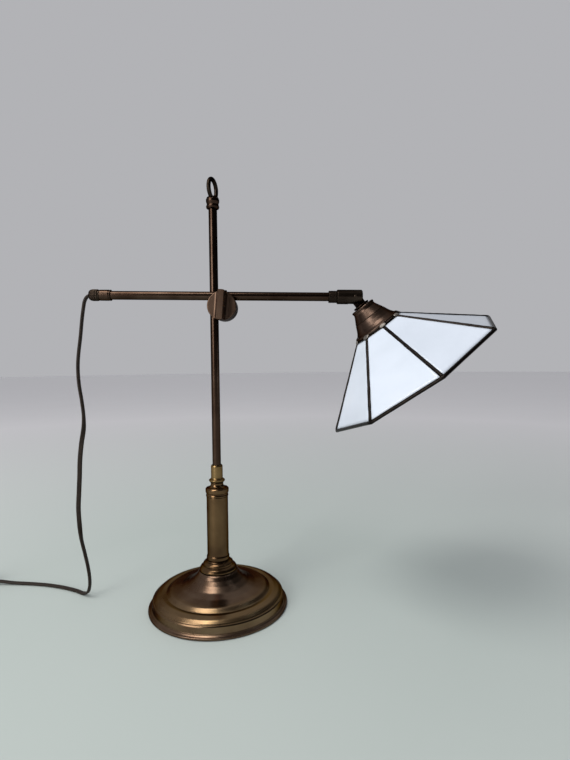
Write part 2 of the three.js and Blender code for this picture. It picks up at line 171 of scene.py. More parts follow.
def lathe(name, profile, matrix=STAND, segments=96, fillet=0.35, wobble=None):
    """A profile turned about the matrix's Z axis. One that starts and ends on the axis is capped there, any
    other is closed on itself. wobble(angle, radius, height) gives a new radius, in mm."""
    on_axis = profile[0][0] == 0 and profile[-1][0] == 0
    outline = rounded(profile, closed=not on_axis, fillet=fillet)
    verts, faces, rings = [], [], []
    for r, z in outline:
        if r < 1e-6:
            rings.append([len(verts)])
            verts.append(Vector((0, 0, z)) * MM)
            continue
        ring = []
        for k in range(segments):
            angle = 2 * math.pi * k / segments
            radius = wobble(angle, r, z) if wobble else r
            ring.append(len(verts))
            verts.append(Vector((radius * math.cos(angle), radius * math.sin(angle), z)) * MM)
        rings.append(ring)
    pairs = list(zip(rings, rings[1:]))
    if not on_axis:
        pairs.append((rings[-1], rings[0]))
    for a, b in pairs:
        for k in range(segments):
            n = (k + 1) % segments
            if len(a) == 1:
                faces.append((a[0], b[k], b[n]))
            elif len(b) == 1:
                faces.append((a[k], b[0], a[n]))
            else:
                faces.append((a[k], b[k], b[n], a[n]))
    return mesh_object(name, verts, faces, matrix)


def box(name, x, y, z, matrix=STAND):
    """A box given by its [low, high] along each axis, in mm, as a cutter or the start of a piece."""
    verts = [Vector((a, b, c)) * MM for a in x for b in y for c in z]
    faces = [(0, 1, 3, 2), (4, 6, 7, 5), (0, 4, 5, 1), (2, 3, 7, 6), (0, 2, 6, 4), (1, 5, 7, 3)]
    return mesh_object(name, verts, faces, matrix, smooth=False)


def rod(radius, low, high, matrix=STAND, segments=64):
    """A plain cylinder, as a cutter or the core of a piece."""
    return lathe("rod", [(0, low), (radius, low), (radius, high), (0, high)], matrix, segments, fillet=0)


def settle(obj):
    """Applies the object's modifiers."""
    graph = bpy.context.evaluated_depsgraph_get()
    mesh = bpy.data.meshes.new_from_object(obj.evaluated_get(graph))
    obj.modifiers.clear()
    old = obj.data
    obj.data = mesh
    bpy.data.meshes.remove(old)
    return obj


def combine(obj, others, operation):
    """Joins other solids to obj (UNION) or cuts them from it (DIFFERENCE), and uses them up."""
    for other in others:
        modifier = obj.modifiers.new("combine", "BOOLEAN")
        modifier.operation = operation
        modifier.solver = "EXACT"
        modifier.object = other
        bpy.context.view_layer.update()
        settle(obj)
        bpy.data.objects.remove(other)
    return obj


def soften(obj, width, segments=3, angle=32):
    """Rounds the sharp edges of a cut or joined solid, and shades it smooth."""
    bm = bmesh.new()
    bm.from_mesh(obj.data)
    bmesh.ops.remove_doubles(bm, verts=bm.verts, dist=0.00001)
    bmesh.ops.dissolve_limit(bm, angle_limit=math.radians(0.3), verts=bm.verts, edges=bm.edges)
    bm.to_mesh(obj.data)
    bm.free()
    bevel = obj.modifiers.new("bevel", "BEVEL")
    bevel.width = width * MM
    bevel.segments = segments
    bevel.limit_method = "ANGLE"
    bevel.angle_limit = math.radians(angle)
    bevel.harden_normals = False
    settle(obj)
    obj.data.polygons.foreach_set("use_smooth", [True] * len(obj.data.polygons))
    weighted = obj.modifiers.new("normals", "WEIGHTED_NORMAL")
    weighted.keep_sharp = False
    weighted.weight = 100
    return settle(obj)


def sweep(name, rings, cap=True):
    """A tube through rings of equal count."""
    count = len(rings[0])
    verts = [p for ring in rings for p in ring]
    faces = []
    for i in range(len(rings) - 1):
        for k in range(count):
            n = (k + 1) % count
            a, b = i * count, (i + 1) * count
            faces.append((a + k, a + n, b + n, b + k))
    if cap:
        faces.append(tuple(range(count)))
        faces.append(tuple((len(rings) - 1) * count + k for k in range(count)))
    return mesh_object(name, verts, faces)


# ---- materials ----
class Nodes:
    """Short forms for building a material's node tree."""

    def __init__(self, name):
        self.material = bpy.data.materials.new(name)
        self.material.use_nodes = True
        self.tree = self.material.node_tree
        self.tree.nodes.clear()
        self.shader = self.add("ShaderNodeBsdfPrincipled")
        output = self.add("ShaderNodeOutputMaterial")
        self.link(self.shader.outputs[0], output.inputs["Surface"])

    def add(self, kind, **settings):
        node = self.tree.nodes.new(kind)
        for key, value in settings.items():
            if key in node.bl_rna.properties:
                setattr(node, key, value)
            else:
                node.inputs[key.replace("_", " ")].default_value = value
        return node

    def link(self, output, socket):
        self.tree.links.new(output, socket)

    def place(self, scale=(1, 1, 1)):
        coordinates = self.add("ShaderNodeTexCoord")
        mapping = self.add("ShaderNodeMapping")
        mapping.inputs["Scale"].default_value = scale
        self.link(coordinates.outputs["Object"], mapping.inputs["Vector"])
        return mapping.outputs["Vector"]

    def noise(self, scale, detail=4, roughness=0.55, stretch=(1, 1, 1), vector=None):
        node = self.add("ShaderNodeTexNoise", Scale=scale, Detail=detail, Roughness=roughness)
        self.link(vector or self.place(stretch), node.inputs["Vector"])
        return node.outputs["Fac"]

    def turned(self, around=0.0):
        """A vector that is the same all round the object's Z axis, so that noise on it makes turning marks."""
        split = self.add("ShaderNodeSeparateXYZ")
        self.link(self.place(), split.inputs[0])
        flat = self.add("ShaderNodeCombineXYZ")
        self.link(split.outputs[0], flat.inputs[0])
        self.link(split.outputs[1], flat.inputs[1])
        length = self.add("ShaderNodeVectorMath", operation="LENGTH")
        self.link(flat.outputs[0], length.inputs[0])
        out = self.add("ShaderNodeCombineXYZ")
        self.link(length.outputs["Value"], out.inputs[0])
        self.link(split.outputs[2], out.inputs[2])
        if around:
            angle = self.add("ShaderNodeVectorMath", operation="SCALE")
            self.link(flat.outputs[0], angle.inputs[0])
            angle.inputs["Scale"].default_value = around
            total = self.add("ShaderNodeVectorMath", operation="ADD")
            self.link(out.outputs[0], total.inputs[0])
            self.link(angle.outputs[0], total.inputs[1])
            return total.outputs[0]
        return out.outputs[0]

    def times(self, value, factor):
        node = self.add("ShaderNodeMath", operation="MULTIPLY")
        self.link(value, node.inputs[0])
        node.inputs[1].default_value = factor
        return node.outputs[0]

    def ramp(self, value, stops):
        node = self.add("ShaderNodeValToRGB")
        ramp = node.color_ramp
        while len(ramp.elements) < len(stops):
            ramp.elements.new(0.5)
        for element, (at, color) in zip(ramp.elements, stops):
            element.position = at
            element.color = (*color, 1) if len(color) == 3 else color
        self.link(value, node.inputs[0])
        return node.outputs[0]

    def mix(self, share, a, b, blend="MIX"):
        node = self.add("ShaderNodeMix", data_type="RGBA", blend_type=blend)
        for socket, value in ((node.inputs[0], share), (node.inputs[6], a), (node.inputs[7], b)):
            if isinstance(value, bpy.types.NodeSocket):
                self.link(value, socket)
            elif isinstance(value, (tuple, list)):
                socket.default_value = (*value, 1)
            else:
                socket.default_value = value
        return node.outputs[2]

    def scaled(self, value, low, high):
        node = self.add("ShaderNodeMapRange")
        node.inputs["From Min"].default_value = 0.25
        node.inputs["From Max"].default_value = 0.75
        node.inputs["To Min"].default_value = low
        node.inputs["To Max"].default_value = high
        self.link(value, node.inputs["Value"])
        return node.outputs[0]

    def bump(self, height, strength, distance, before=None):
        node = self.add("ShaderNodeBump", Strength=strength, Distance=distance)
        self.link(height, node.inputs["Height"])
        if before is not None:
            self.link(before, node.inputs["Normal"])
        return node.outputs["Normal"]

    def crevices(self, distance):
        node = self.add("ShaderNodeAmbientOcclusion", samples=8, Distance=distance)
        return node.outputs["AO"]

    def set(self, **values):
        for key, value in values.items():
            socket = self.shader.inputs[key.replace("_", " ")]
            if isinstance(value, bpy.types.NodeSocket):
                self.link(value, socket)
            elif isinstance(value, tuple) and len(value) == 3 and socket.type == "RGBA":
                socket.default_value = (*value, 1)
            else:
                socket.default_value = value
        return self.material


def aged_metal(name, deep, body, worn, rough, marks="turned", rubbed=None):
    """Lacquered brass gone brown: soft cloudy patina, dark patina and painted shade in the corners, rubbed edges and
    fine tool marks.
    rubbed is (inner radius, outer radius, color) of a zone in mm where the brown has worn thin."""
    n = Nodes(name)
    cloud = n.noise(22, detail=5, roughness=0.55)
    color = n.ramp(cloud, [(0.32, deep), (0.5, body), (0.7, worn)])
    if rubbed:
        inner, outer, bare = rubbed
        radius = n.add("ShaderNodeVectorMath", operation="LENGTH")
        n.link(n.place((1, 1, 0)), radius.inputs[0])
        scale = 1 / 0.12
        zone = n.ramp(n.times(radius.outputs["Value"], scale), [
            ((inner - 6) * MM * scale, (0, 0, 0)), ((inner + 5) * MM * scale, (0.62, 0.62, 0.62)),
            ((outer - 4) * MM * scale, (0.62, 0.62, 0.62)), (outer * MM * scale, (0, 0, 0)),
        ])
        patch = n.ramp(n.noise(11, detail=4), [(0.36, (0.3, 0.3, 0.3)), (0.6, (1, 1, 1))])
        color = n.mix(n.mix(1.0, zone, patch, "MULTIPLY"), color, bare)
    fleck = n.noise(520, detail=3, roughness=0.6)
    color = n.mix(n.ramp(fleck, [(0.6, (0, 0, 0)), (0.74, (0.35, 0.35, 0.35))]), color, deep)
    edge = n.add("ShaderNodeNewGeometry").outputs["Pointiness"]
    color = n.mix(n.ramp(edge, [(0.54, (0, 0, 0)), (0.64, (0.5, 0.5, 0.5))]), color, tuple(1.5 * c for c in worn))
    # darkened where the AO node finds surfaces close by: dark patina in the hollows, and painted shade in corners and
    # where parts meet
    patina_and_shade = n.ramp(n.crevices(0.003), [(0.3, (1, 1, 1)), (0.85, (0, 0, 0))])
    color = n.mix(patina_and_shade, color, tuple(0.2 * c for c in deep))
    if marks == "turned":
        fine = n.noise(2600, detail=2, vector=n.turned(0.02))
    else:
        fine = n.noise(900, detail=2, stretch=(1, 1, 0.03))
    bump = n.bump(fine, 0.04, 0.0004)
    bump = n.bump(n.noise(140, detail=3), 0.08, 0.0004, bump)
    roughness = n.scaled(cloud, rough + 0.05, rough - 0.04)
    return n.set(Base_Color=color, Metallic=1.0, Roughness=roughness, Normal=bump, Specular_Tint=(0.2, 0.19, 0.18))


def opal_glass():
    """Milky glass with faint wisps, rolled so that its face isn't quite flat."""
    n = Nodes("opal_glass")
    wisp = n.noise(9, detail=5, roughness=0.5, stretch=(1, 1, 2.6))
    color = n.ramp(wisp, [(0.3, (0.58, 0.637, 0.722)), (0.55, (0.641, 0.698, 0.789)), (0.75, (0.68, 0.73, 0.81))])
    bump = n.bump(n.noise(24, detail=2), 0.12, 0.0015)
    return n.set(Base_Color=color, Roughness=0.16, Normal=bump, Coat_Weight=0.3, Coat_Roughness=0.05)


def solder(name, color, rough):
    n = Nodes(name)
    cloud = n.noise(160, detail=5, roughness=0.65)
    tint = n.mix(n.ramp(cloud, [(0.45, (0, 0, 0)), (0.75, (1, 1, 1))]), color, tuple(2.2 * c for c in color))
    bump = n.bump(n.noise(330, detail=3), 0.35, 0.0006)
    return n.set(Base_Color=tint, Metallic=0.9, Roughness=n.scaled(cloud, rough, rough + 0.15), Normal=bump)


def moulded(name, color, rough, grain=1400):
    n = Nodes(name)
    cloud = n.noise(60, detail=3)
    tint = n.mix(cloud, tuple(0.8 * c for c in color), tuple(1.25 * c for c in color))
    bump = n.bump(n.noise(grain, detail=2), 0.12, 0.0002)
    return n.set(Base_Color=tint, Roughness=n.scaled(cloud, rough - 0.05, rough + 0.08), Normal=bump)


def plated(name, color, rough):
    n = Nodes(name)
    fine = n.noise(1500, detail=2, vector=n.turned(0.05))
    tint = n.mix(n.noise(90), tuple(0.8 * c for c in color), color)
    return n.set(Base_Color=tint, Metallic=1.0, Roughness=n.scaled(n.noise(200), rough, rough + 0.12),
                 Normal=n.bump(fine, 0.08, 0.0003))


def felt_cloth():
    n = Nodes("felt")
    nap = n.noise(900, detail=6, roughness=0.7)
    color = n.ramp(nap, [(0.3, (0.012, 0.035, 0.02)), (0.7, (0.05, 0.11, 0.065))])
    return n.set(Base_Color=color, Roughness=0.95, Sheen_Weight=0.4, Normal=n.bump(nap, 0.6, 0.0006))


def cast_iron():
    n = Nodes("cast_iron")
    grain = n.noise(500, detail=6, roughness=0.7)
    color = n.ramp(grain, [(0.3, (0.02, 0.02, 0.022)), (0.7, (0.07, 0.065, 0.06))])
    return n.set(Base_Color=color, Metallic=0.7, Roughness=0.65, Normal=n.bump(grain, 0.5, 0.0006))


def flex():
    """The cord's skin: dull brown plastic, scuffed along its length."""
    n = Nodes("flex")
    scuff = n.noise(300, detail=4, roughness=0.6)
    color = n.ramp(scuff, [(0.35, (0.012, 0.0065, 0.004)), (0.7, (0.028, 0.017, 0.010))])
    return n.set(Base_Color=color, Roughness=n.scaled(scuff, 0.42, 0.6), Normal=n.bump(scuff, 0.15, 0.0003),
                 Specular_IOR_Level=0.25)


def bulb_coating():
    n = Nodes("bulb_coating")
    cloud = n.noise(30, detail=3)
    color = n.mix(cloud, (0.86, 0.86, 0.82), (0.93, 0.93, 0.90))
    return n.set(Base_Color=color, Roughness=0.22, Normal=n.bump(n.noise(1200), 0.03, 0.0002))


SLOTS = {
    "aged_brass": aged_metal("aged_brass", (0.092, 0.053, 0.027), (0.144, 0.086, 0.042), (0.20, 0.124, 0.061), 0.20),
    "dark_brass": aged_metal("dark_brass", (0.032, 0.018, 0.012), (0.052, 0.032, 0.022), (0.084, 0.055, 0.039), 0.22,
                             marks="drawn"),
    "bright_brass": aged_metal("bright_brass", (0.128, 0.076, 0.034), (0.208, 0.132, 0.056), (0.30, 0.20, 0.088), 0.27),
    "iron": cast_iron(),
    "steel": plated("steel", (0.50, 0.50, 0.49), 0.3),
    "felt": felt_cloth(),
    "opal_glass": opal_glass(),
    "lead": solder("lead", (0.010, 0.0075, 0.006), 0.22),
    "cord": flex(),
    "black_plastic": moulded("black_plastic", (0.018, 0.016, 0.015), 0.36),
    "lamp_glass": bulb_coating(),
}
BRIGHT_SOLDER = solder("bright_solder", (0.20, 0.18, 0.16), 0.42)
BLACKENED = aged_metal("blackened", (0.014, 0.010, 0.008), (0.028, 0.020, 0.015), (0.06, 0.045, 0.034), 0.34)
CAP_BRASS = aged_metal("cap_brass", (0.055, 0.033, 0.024), (0.085, 0.056, 0.042), (0.125, 0.088, 0.068), 0.31)
KNOB_BRASS = aged_metal("knob_brass", (0.072, 0.040, 0.027), (0.108, 0.067, 0.047), (0.15, 0.096, 0.067), 0.42,
                        marks="drawn")
BASE_BRASS = aged_metal("base_brass", (0.105, 0.063, 0.041), (0.155, 0.102, 0.069), (0.215, 0.147, 0.100), 0.25,
                        rubbed=(57, 80, (0.29, 0.19, 0.085)))


def dress(obj, slot, body, *nodes, material=None):
    """Gives a piece its material and its body, and hides the CAD nodes that it stands for."""
    obj.data.materials.clear()
    obj.data.materials.append(material or SLOTS[slot])
    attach(obj, body)
    if nodes:
        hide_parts(*nodes)
    return obj


def dress_cad_nodes():
    """CAD nodes that stay get their slot's material."""
    slots = {s["node"]: s["material_slot"] for s in frame["record"]["subparts"]}
    for name, obj in frame["nodes"].items():
        obj.data.materials.clear()
        obj.data.materials.append(SLOTS[slots[name]])


dress_cad_nodes()


# ---- stand ----
def make_base():
    outside = [
        (82.5, 0.5, 0.8), (82.5, 3.0, 0.9), (80.6, 3.6, 0.5), (79.4, 4.6, 0.4), (78.2, 5.2, 0.4), (77.8, 12.2, 0.5),
        (77.0, 13.6, 0.5), (75.9, 13.9, 0.3), (75.6, 14.7, 1.5), (72.4, 17.6, 6.0), (66.5, 19.4, 5.0), (61.6, 18.9, 0.8),
        (60.4, 19.7, 1.2), (57.0, 22.8, 4.5), (51.0, 23.6, 6.0), (44.0, 24.8, 10.0), (36.0, 28.2, 9.0), (30.0, 32.8, 8.0),
        (25.8, 37.4, 6.0), (23.6, 41.0, 3.0), (22.4, 42.2, 0.3),
    ]
    inside = [
        (5.6, 42.2), (5.6, 40.8), (20.8, 40.8), (24.2, 36.2), (35.0, 26.8), (52.0, 21.8), (60.0, 17.4), (72.0, 14.6),
        (76.0, 12.0), (77.0, 0.5),
    ]
    return lathe("base_shell_fine", outside + inside, segments=160)


def make_foot():
    profile = [
        (5.6, 42.7), (21.6, 42.7, 0.2), (22.3, 43.4, 0.5), (22.2, 45.0, 1.4), (20.6, 47.4, 2.4), (18.6, 48.5, 0.6),
        (17.9, 48.8, 0.2), (18.0, 49.6, 0.4), (17.6, 51.6, 1.6), (15.6, 53.2, 1.2), (14.2, 53.5, 0.4), (13.6, 54.5, 0.3),
        (5.6, 54.5),
    ]
    return lathe("column_foot_fine", profile, segments=128)


def make_column():
    profile = [
        (11.6, 54.8), (13.4, 54.8, 0.5), (13.7, 56.2, 0.8), (13.6, 59.2, 0.5), (13.0, 60.2, 0.4), (12.8, 61.0, 0.3),
        (12.8, 130.6, 0.3), (12.6, 131.1), (11.6, 131.1),
    ]
    return lathe("column_tube_fine", profile, segments=128)


def make_column_cap():
    profile = [
        (5.6, 126.0), (11.2, 126.0), (11.2, 131.2), (13.2, 131.2, 0.5), (13.4, 132.6, 0.8), (12.9, 133.8, 0.3),
        (12.8, 134.6, 0.3), (13.5, 135.6, 0.5), (13.8, 136.4, 0.5), (13.9, 140.2, 0.8), (12.8, 141.5, 0.8),
        (10.2, 142.1, 0.8), (8.2, 143.4, 1.0), (7.4, 145.2, 1.5), (7.5, 146.8, 0.8), (8.3, 148.3, 0.3), (5.6, 148.4),
    ]
    return lathe("column_cap_fine", profile, segments=128)


def make_mast_socket():
    profile = [
        (5.3, 148.8), (8.6, 148.7, 0.4), (9.5, 149.5, 0.7), (9.5, 150.9, 0.7), (8.4, 151.7, 0.4), (7.2, 152.1, 0.4),
        (6.95, 153.4, 0.4), (6.95, 166.8, 0.3), (6.6, 168.4, 0.5), (5.3, 168.8),
    ]
    return lathe("mast_socket_fine", profile, segments=96)


def make_felt():
    profile = [(0, 0), (76.6, 0, 0.5), (76.6, 2.2, 0.5), (0, 2.2)]
    return lathe("felt_pad_fine", profile, segments=128)


dress(make_felt(), "felt", "stand", "felt_pad")
dress(make_base(), "aged_brass", "stand", "base_shell", material=BASE_BRASS)
dress(make_foot(), "aged_brass", "stand", "column_foot")
dress(make_column(), "aged_brass", "stand", "column_tube")
dress(make_column_cap(), "aged_brass", "stand", "column_cap")
dress(make_mast_socket(), "bright_brass", "stand", "mast_socket")


# ---- mast and finial ----
RING_CENTRE_Z = 494.2
RING_RADIUS = 11.0
RING_WIRE = 2.45
RING_TURN = math.radians(15)


def make_mast():
    profile = [(4, 155.6), (5, 155.6), (5, 470.4), (4, 470.4)]
    return lathe("mast_tube_fine", profile, segments=64)


def make_finial():
    profile = [
        (0, 463.0), (3.6, 463.0), (3.6, 470.5), (5.6, 470.5, 0.3), (7.3, 471.3, 0.8), (7.8, 473.2, 1.2), (7.2, 475.0, 0.6),
        (6.7, 475.7, 0.3), (7.0, 476.5, 0.4), (7.8, 479.0, 1.6), (7.8, 481.4, 1.4), (6.6, 484.2, 1.6), (3.8, 485.4, 1.2),
        (0, 485.6),
    ]
    return lathe("finial_fine", profile, segments=80)


def make_finial_ring():
    """A wire ring whose ends meet inside the finial, standing in a plane turned a little from the Y axis."""
    out = Vector((math.sin(RING_TURN), math.cos(RING_TURN), 0))
    side = out.cross(UP)
    rings = []
    around, across = 72, 20
    for i in range(around + 1):
        angle = 2 * math.pi * i / around - math.pi / 2
        radial = out * math.cos(angle) + UP * math.sin(angle)
        centre = UP * RING_CENTRE_Z + radial * RING_RADIUS
        ring = []
        for k in range(across):
            turn = 2 * math.pi * k / across
            ring.append((centre + (radial * math.cos(turn) + side * math.sin(turn)) * RING_WIRE) * MM)
        rings.append(ring)
    obj = sweep("finial_ring_fine", rings, cap=False)
    bm = bmesh.new()
    bm.from_mesh(obj.data)
    bmesh.ops.remove_doubles(bm, verts=bm.verts, dist=0.00001)
    bm.to_mesh(obj.data)
    bm.free()
    return obj


dress(make_mast(), "dark_brass", "mast", "mast_tube")
dress(make_finial(), "dark_brass", "mast", "finial")
dress(make_finial_ring(), "dark_brass", "mast", "finial_ring", material=BLACKENED)


# ---- clamp ----
CLAMP_R = 15.6
EYE_REACH = 4.8
KNOB_R = 16.6


def make_clamp_half(name, place, low, high, eye, bore, slot_cut):
    """A thick disc joined to the eye that grips a tube, bored, drilled and sawn."""
    edge = 1.0
    body = lathe(name, [(0, low), (CLAMP_R, low, edge), (CLAMP_R, high, edge), (0, high)], place, 96)
    combine(body, [eye], "UNION")
    hole = rod(3.3, low - 5, high + 5, place, 32)
    combine(body, [bore, hole, slot_cut], "DIFFERENCE")
    return soften(body, 0.35, segments=2)


def make_clamp_rear():
    z = SCREW.z / MM
    eye = lathe("eye", [(0, z - EYE_REACH), (7.4, z - EYE_REACH, 0.8), (7.4, z + EYE_REACH, 0.8), (0, z + EYE_REACH)],
                segments=64)
    bore = rod(5.3, z - 30, z + 30)
    cut = box("cut", (1, 40), (-0.6, 0.6), (z - 30, z + 30))
    return make_clamp_half("clamp_rear_fine", REAR, -7.4, 7.6, eye, bore, cut)


def make_clamp_front():
    eye = lathe("eye", [(0, -EYE_REACH), (6.8, -EYE_REACH, 0.8), (6.8, EYE_REACH, 0.8), (0, EYE_REACH)], ARM, 64)
    bore = rod(5.3, -30, 30, ARM)
    cut = box("cut", (-30, 30), (-30, 10), (-0.6, 0.6), FRONT @ Matrix.Rotation(math.pi / 2, 4, "X"))
    return make_clamp_half("clamp_front_fine", FRONT, -6.9, 6.8, eye, bore, cut)


def wing(place, face):
    """The grip: a bar across the disc whose sides sweep out into it."""
    half_tip, half_root, sweep_out, steps = 3.5, 5.2, 3.2, 6
    side = [(half_tip - 0.4, face - 14.5), (half_tip, face - 14.1)]
    for i in range(steps + 1):
        turn = math.pi / 2 * i / steps
        side.append((half_root + sweep_out * (1 - math.cos(turn)), face - sweep_out * (1 - math.sin(turn)) - 0.1))
    side.append((half_root + sweep_out, face + 1.0))
    outline = side + [(-x, z) for x, z in reversed(side)]
    verts = [Vector((x, y, z)) * MM for y in (-KNOB_R, KNOB_R) for x, z in outline]
    count = len(outline)
    faces = [tuple(range(count)), tuple(range(2 * count - 1, count - 1, -1))]
    faces += [(k, (k + 1) % count, (k + 1) % count + count, k + count) for k in range(count)]
    return mesh_object("wing", verts, faces, place, smooth=False)


def make_knob():
    """A disc with a blade across it to turn it by."""
    place = FRONT @ Matrix.Rotation(KNOB_LEAN, 4, "Z")
    face = -11.0
    plate = lathe("clamp_knob_fine", [
        (0, face), (15.6, face, 0.5), (16.3, face + 0.3, 0.4), (KNOB_R, face + 0.9, 0.4), (KNOB_R, face + 3.0, 0.6),
        (15.9, face + 3.8, 0.4), (0, face + 3.8),
    ], place, 96)
    blade = wing(place, face)
    outline = rod(KNOB_R - 0.15, face - 20, face + 2, place, 128)
    combine(blade, [outline], "INTERSECT")
    combine(plate, [blade], "UNION")
    return soften(plate, 0.7)


def make_clamp_nut():
    place = REAR
    nut = lathe("clamp_nut_fine", [(0, 7.9), (6.8, 7.9), (6.8, 12.4), (0, 12.4)], place, 6, fillet=0)
    dome = lathe("dome", [(0, 7.0), (6.6, 7.0), (6.9, 10.6, 0.5), (5.6, 12.5, 0.8), (0, 12.5)], place, 64)
    combine(nut, [dome], "INTERSECT")
    combine(nut, [rod(3.2, 0, 20, place, 32)], "DIFFERENCE")
    return soften(nut, 0.3, segments=2)


def make_screw():
    """The stud, with a rounded end and a rolled thread where it comes out of the nut."""
    profile = [(0, -17.4), (3, -17.4), (3, 14.0, 0)]
    for i in range(1, 26):
        z = 14.0 + 0.5 * i
        profile.append((3.0 if i % 2 == 0 else 2.65, z, 0.1))
    profile += [(2.8, 27.4, 0.3), (2.0, 28.3, 0.4), (0, 28.5)]
    return lathe("clamp_screw_fine", profile, FRONT, 40, fillet=0.05)


dress(make_clamp_rear(), "dark_brass", "rear_clamp", "clamp_rear")
dress(make_clamp_nut(), "dark_brass", "rear_clamp", "clamp_nut")
dress(make_clamp_front(), "dark_brass", "front_clamp", "clamp_front")
dress(lathe("clamp_washer_fine", [(3.5, 7.1), (12.6, 7.1), (12.6, 8.3), (3.5, 8.3)], FRONT, 64, fillet=0.2),
      "black_plastic", "front_clamp", "clamp_washer")
dress(make_knob(), "aged_brass", "knob", "clamp_knob", material=KNOB_BRASS)
dress(make_screw(), "steel", "knob", "clamp_screw")


# ---- arm ----
def knurl(low, high, teeth, depth, lean=0.0):
    """A wobble that cuts crossed grooves between two heights."""
    def wobble(angle, r, z):
        if not low < z < high or r < 5.6:
            return r
        a = math.cos(teeth * angle + lean * z)
        b = math.cos(teeth * angle - lean * z)
        return r - depth * (0.5 - 0.25 * (a + b))
    return wobble


def make_gland():
    profile = [
        (4.6, -152.7), (5.3, -152.5, 0.3), (6.2, -151.2, 1.0), (6.75, -148.8, 1.4), (6.75, -145.6, 0.3),
        (6.45, -145.2, 0.1), (6.75, -144.8, 0.2), (6.75, -143.4, 0.3), (6.2, -142.0, 0.6), (6.1, -140.7, 0.2), (3.4, -140.7),
        (3.4, -150.0),
    ]
    fine = knurl(-151.4, -142.6, 30, 0.35)
    return lathe("cord_gland_fine", profile, ARM, 240, wobble=fine)


def make_gland_sleeve():
    profile = [
        (5.05, -140.4), (6.3, -140.4, 0.3), (6.35, -130.6, 0.2), (5.9, -130.1, 0.2), (5.9, -129.6, 0.2), (6.35, -129.1, 0.2),
        (6.3, -128.1, 0.3), (5.05, -128.1),
    ]
    return lathe("gland_sleeve_fine", profile, ARM, 80)


def make_collar():
    rows = 8
    low, high = 121.7, 130.8
    profile = [(5.05, low), (6.7, low, 0.3), (7.0, low + 0.7, 0.2)]
    for i in range(1, 2 * rows):
        z = low + 0.7 + (high - low - 1.4) * i / (2 * rows)
        profile.append((7.0, z, 0))
    profile += [(7.0, high - 0.7, 0.2), (6.7, high, 0.3), (5.05, high)]
    fine = knurl(low + 0.6, high - 0.6, 28, 0.4, lean=2.4)
    return lathe("arm_collar_fine", profile, ARM, 224, wobble=fine)


dress(lathe("arm_tube_fine", [(4, -139.9), (5, -139.9), (5, 130.5), (4, 130.5)], ARM, 64), "dark_brass", "arm", "arm_tube")
dress(make_gland_sleeve(), "dark_brass", "arm", "gland_sleeve")
dress(make_gland(), "dark_brass", "arm", "cord_gland", material=BLACKENED)
dress(make_collar(), "dark_brass", "arm", "arm_collar", material=BLACKENED)


# ---- knuckle ----
def make_knuckle():
    sleeve = lathe("knuckle_sleeve_fine", [
        (2.3, 118.0), (3.7, 118.0), (3.7, 131.1), (7.6, 131.1, 0.5), (8.3, 131.9, 0.5), (8.35, 159.2, 0.9), (7.4, 160.1, 0.5),
        (2.3, 160.1),
    ], ARM, 96)
    tongue_room = (-20, 6.4)
    cut = box("cut", tongue_room, (-3.3, 3.3), (144, 172), ARM)
    along_pin = ARM @ Matrix.Translation((0, 0, PIVOT_ALONG)) @ Matrix.Rotation(math.pi / 2, 4, "X")
    combine(sleeve, [cut, rod(1.9, -20, 20, along_pin, 32)], "DIFFERENCE")
    return soften(sleeve, 0.3, segments=2)


def make_pin():
    """A slotted pin with domed ends."""
    along_pin = ARM @ Matrix.Translation((0, 0, PIVOT_ALONG)) @ Matrix.Rotation(math.pi / 2, 4, "X")
    pin = lathe("knuckle_pin_fine", [
        (0, -8.5), (1.2, -8.4, 0.3), (2.4, -7.9, 0.3), (2.4, -7.6), (1.75, -7.6), (1.75, 7.6), (2.4, 7.6), (2.4, 7.9, 0.3),
        (1.2, 8.4, 0.3), (0, 8.5),
    ], along_pin, 48, fillet=0.1)
    slots = [box("cut", (-4, 4), (-0.35, 0.35), span, along_pin) for span in ((-9, -8.1), (8.1, 9))]
    combine(pin, slots, "DIFFERENCE")
    return soften(pin, 0.08, segments=1)


def make_tongue():
    """A flat ear on the pin, then a stem with two thin collars down to the shade's cap."""
    place = SHADE @ Matrix.Rotation(math.pi / 2, 4, "X")
    ear = lathe("knuckle_tongue_fine", [(0, -2.9), (6, -2.9, 0.4), (6, 2.9, 0.4), (0, 2.9)], place, 64)
    shank = box("shank", (-5.9, 5.9), (-2.9, 2.9), (0, 12.4), SHADE)
    stem = lathe("stem", [
        (0, 8.6), (5.0, 8.6), (5.8, 9.2, 0.4), (5.8, 10.6, 0.3), (8.8, 10.9, 0.3), (9.7, 11.4, 0.4), (9.7, 12.2, 0.4),
        (9.0, 12.9, 0.2), (8.8, 13.3), (4.9, 13.3), (4.9, 24.0), (0, 24.0),
    ], SHADE, 80)
    narrow = box("narrow", (-20, 20), (-20, 20), (-2, 10.8), SHADE)
    room = box("room", (-20, 20), (-2.95, 2.95), (-3, 10.9), SHADE)
    combine(narrow, [room], "DIFFERENCE")
    combine(stem, [narrow], "DIFFERENCE")
    combine(ear, [shank, stem], "UNION")
    combine(ear, [rod(1.95, -20, 20, place, 32)], "DIFFERENCE")
    return soften(ear, 0.25, segments=2)


dress(make_knuckle(), "dark_brass", "knuckle", "knuckle_sleeve", material=BLACKENED)
dress(make_pin(), "dark_brass", "knuckle", "knuckle_pin", material=BLACKENED)
dress(make_tongue(), "dark_brass", "shade", "knuckle_tongue")


# ---- shade ----
SLOPE = (SHADE_RIM[0] - SHADE_TOP[0]) / (SHADE_RIM[1] - SHADE_TOP[1])
HALF_SIDE = math.pi / SIDES


def corner(k, s, out=0.0):
    """The shade's k-th corner at a distance s below the pivot, moved outward square to the corner's edge."""
    angle = 2 * k * HALF_SIDE
    length = math.hypot(1, SLOPE)
    radius = SHADE_TOP[0] + (s - SHADE_TOP[1]) * SLOPE + out / length
    return Vector((radius * math.cos(angle), radius * math.sin(angle), s - out * SLOPE / length))


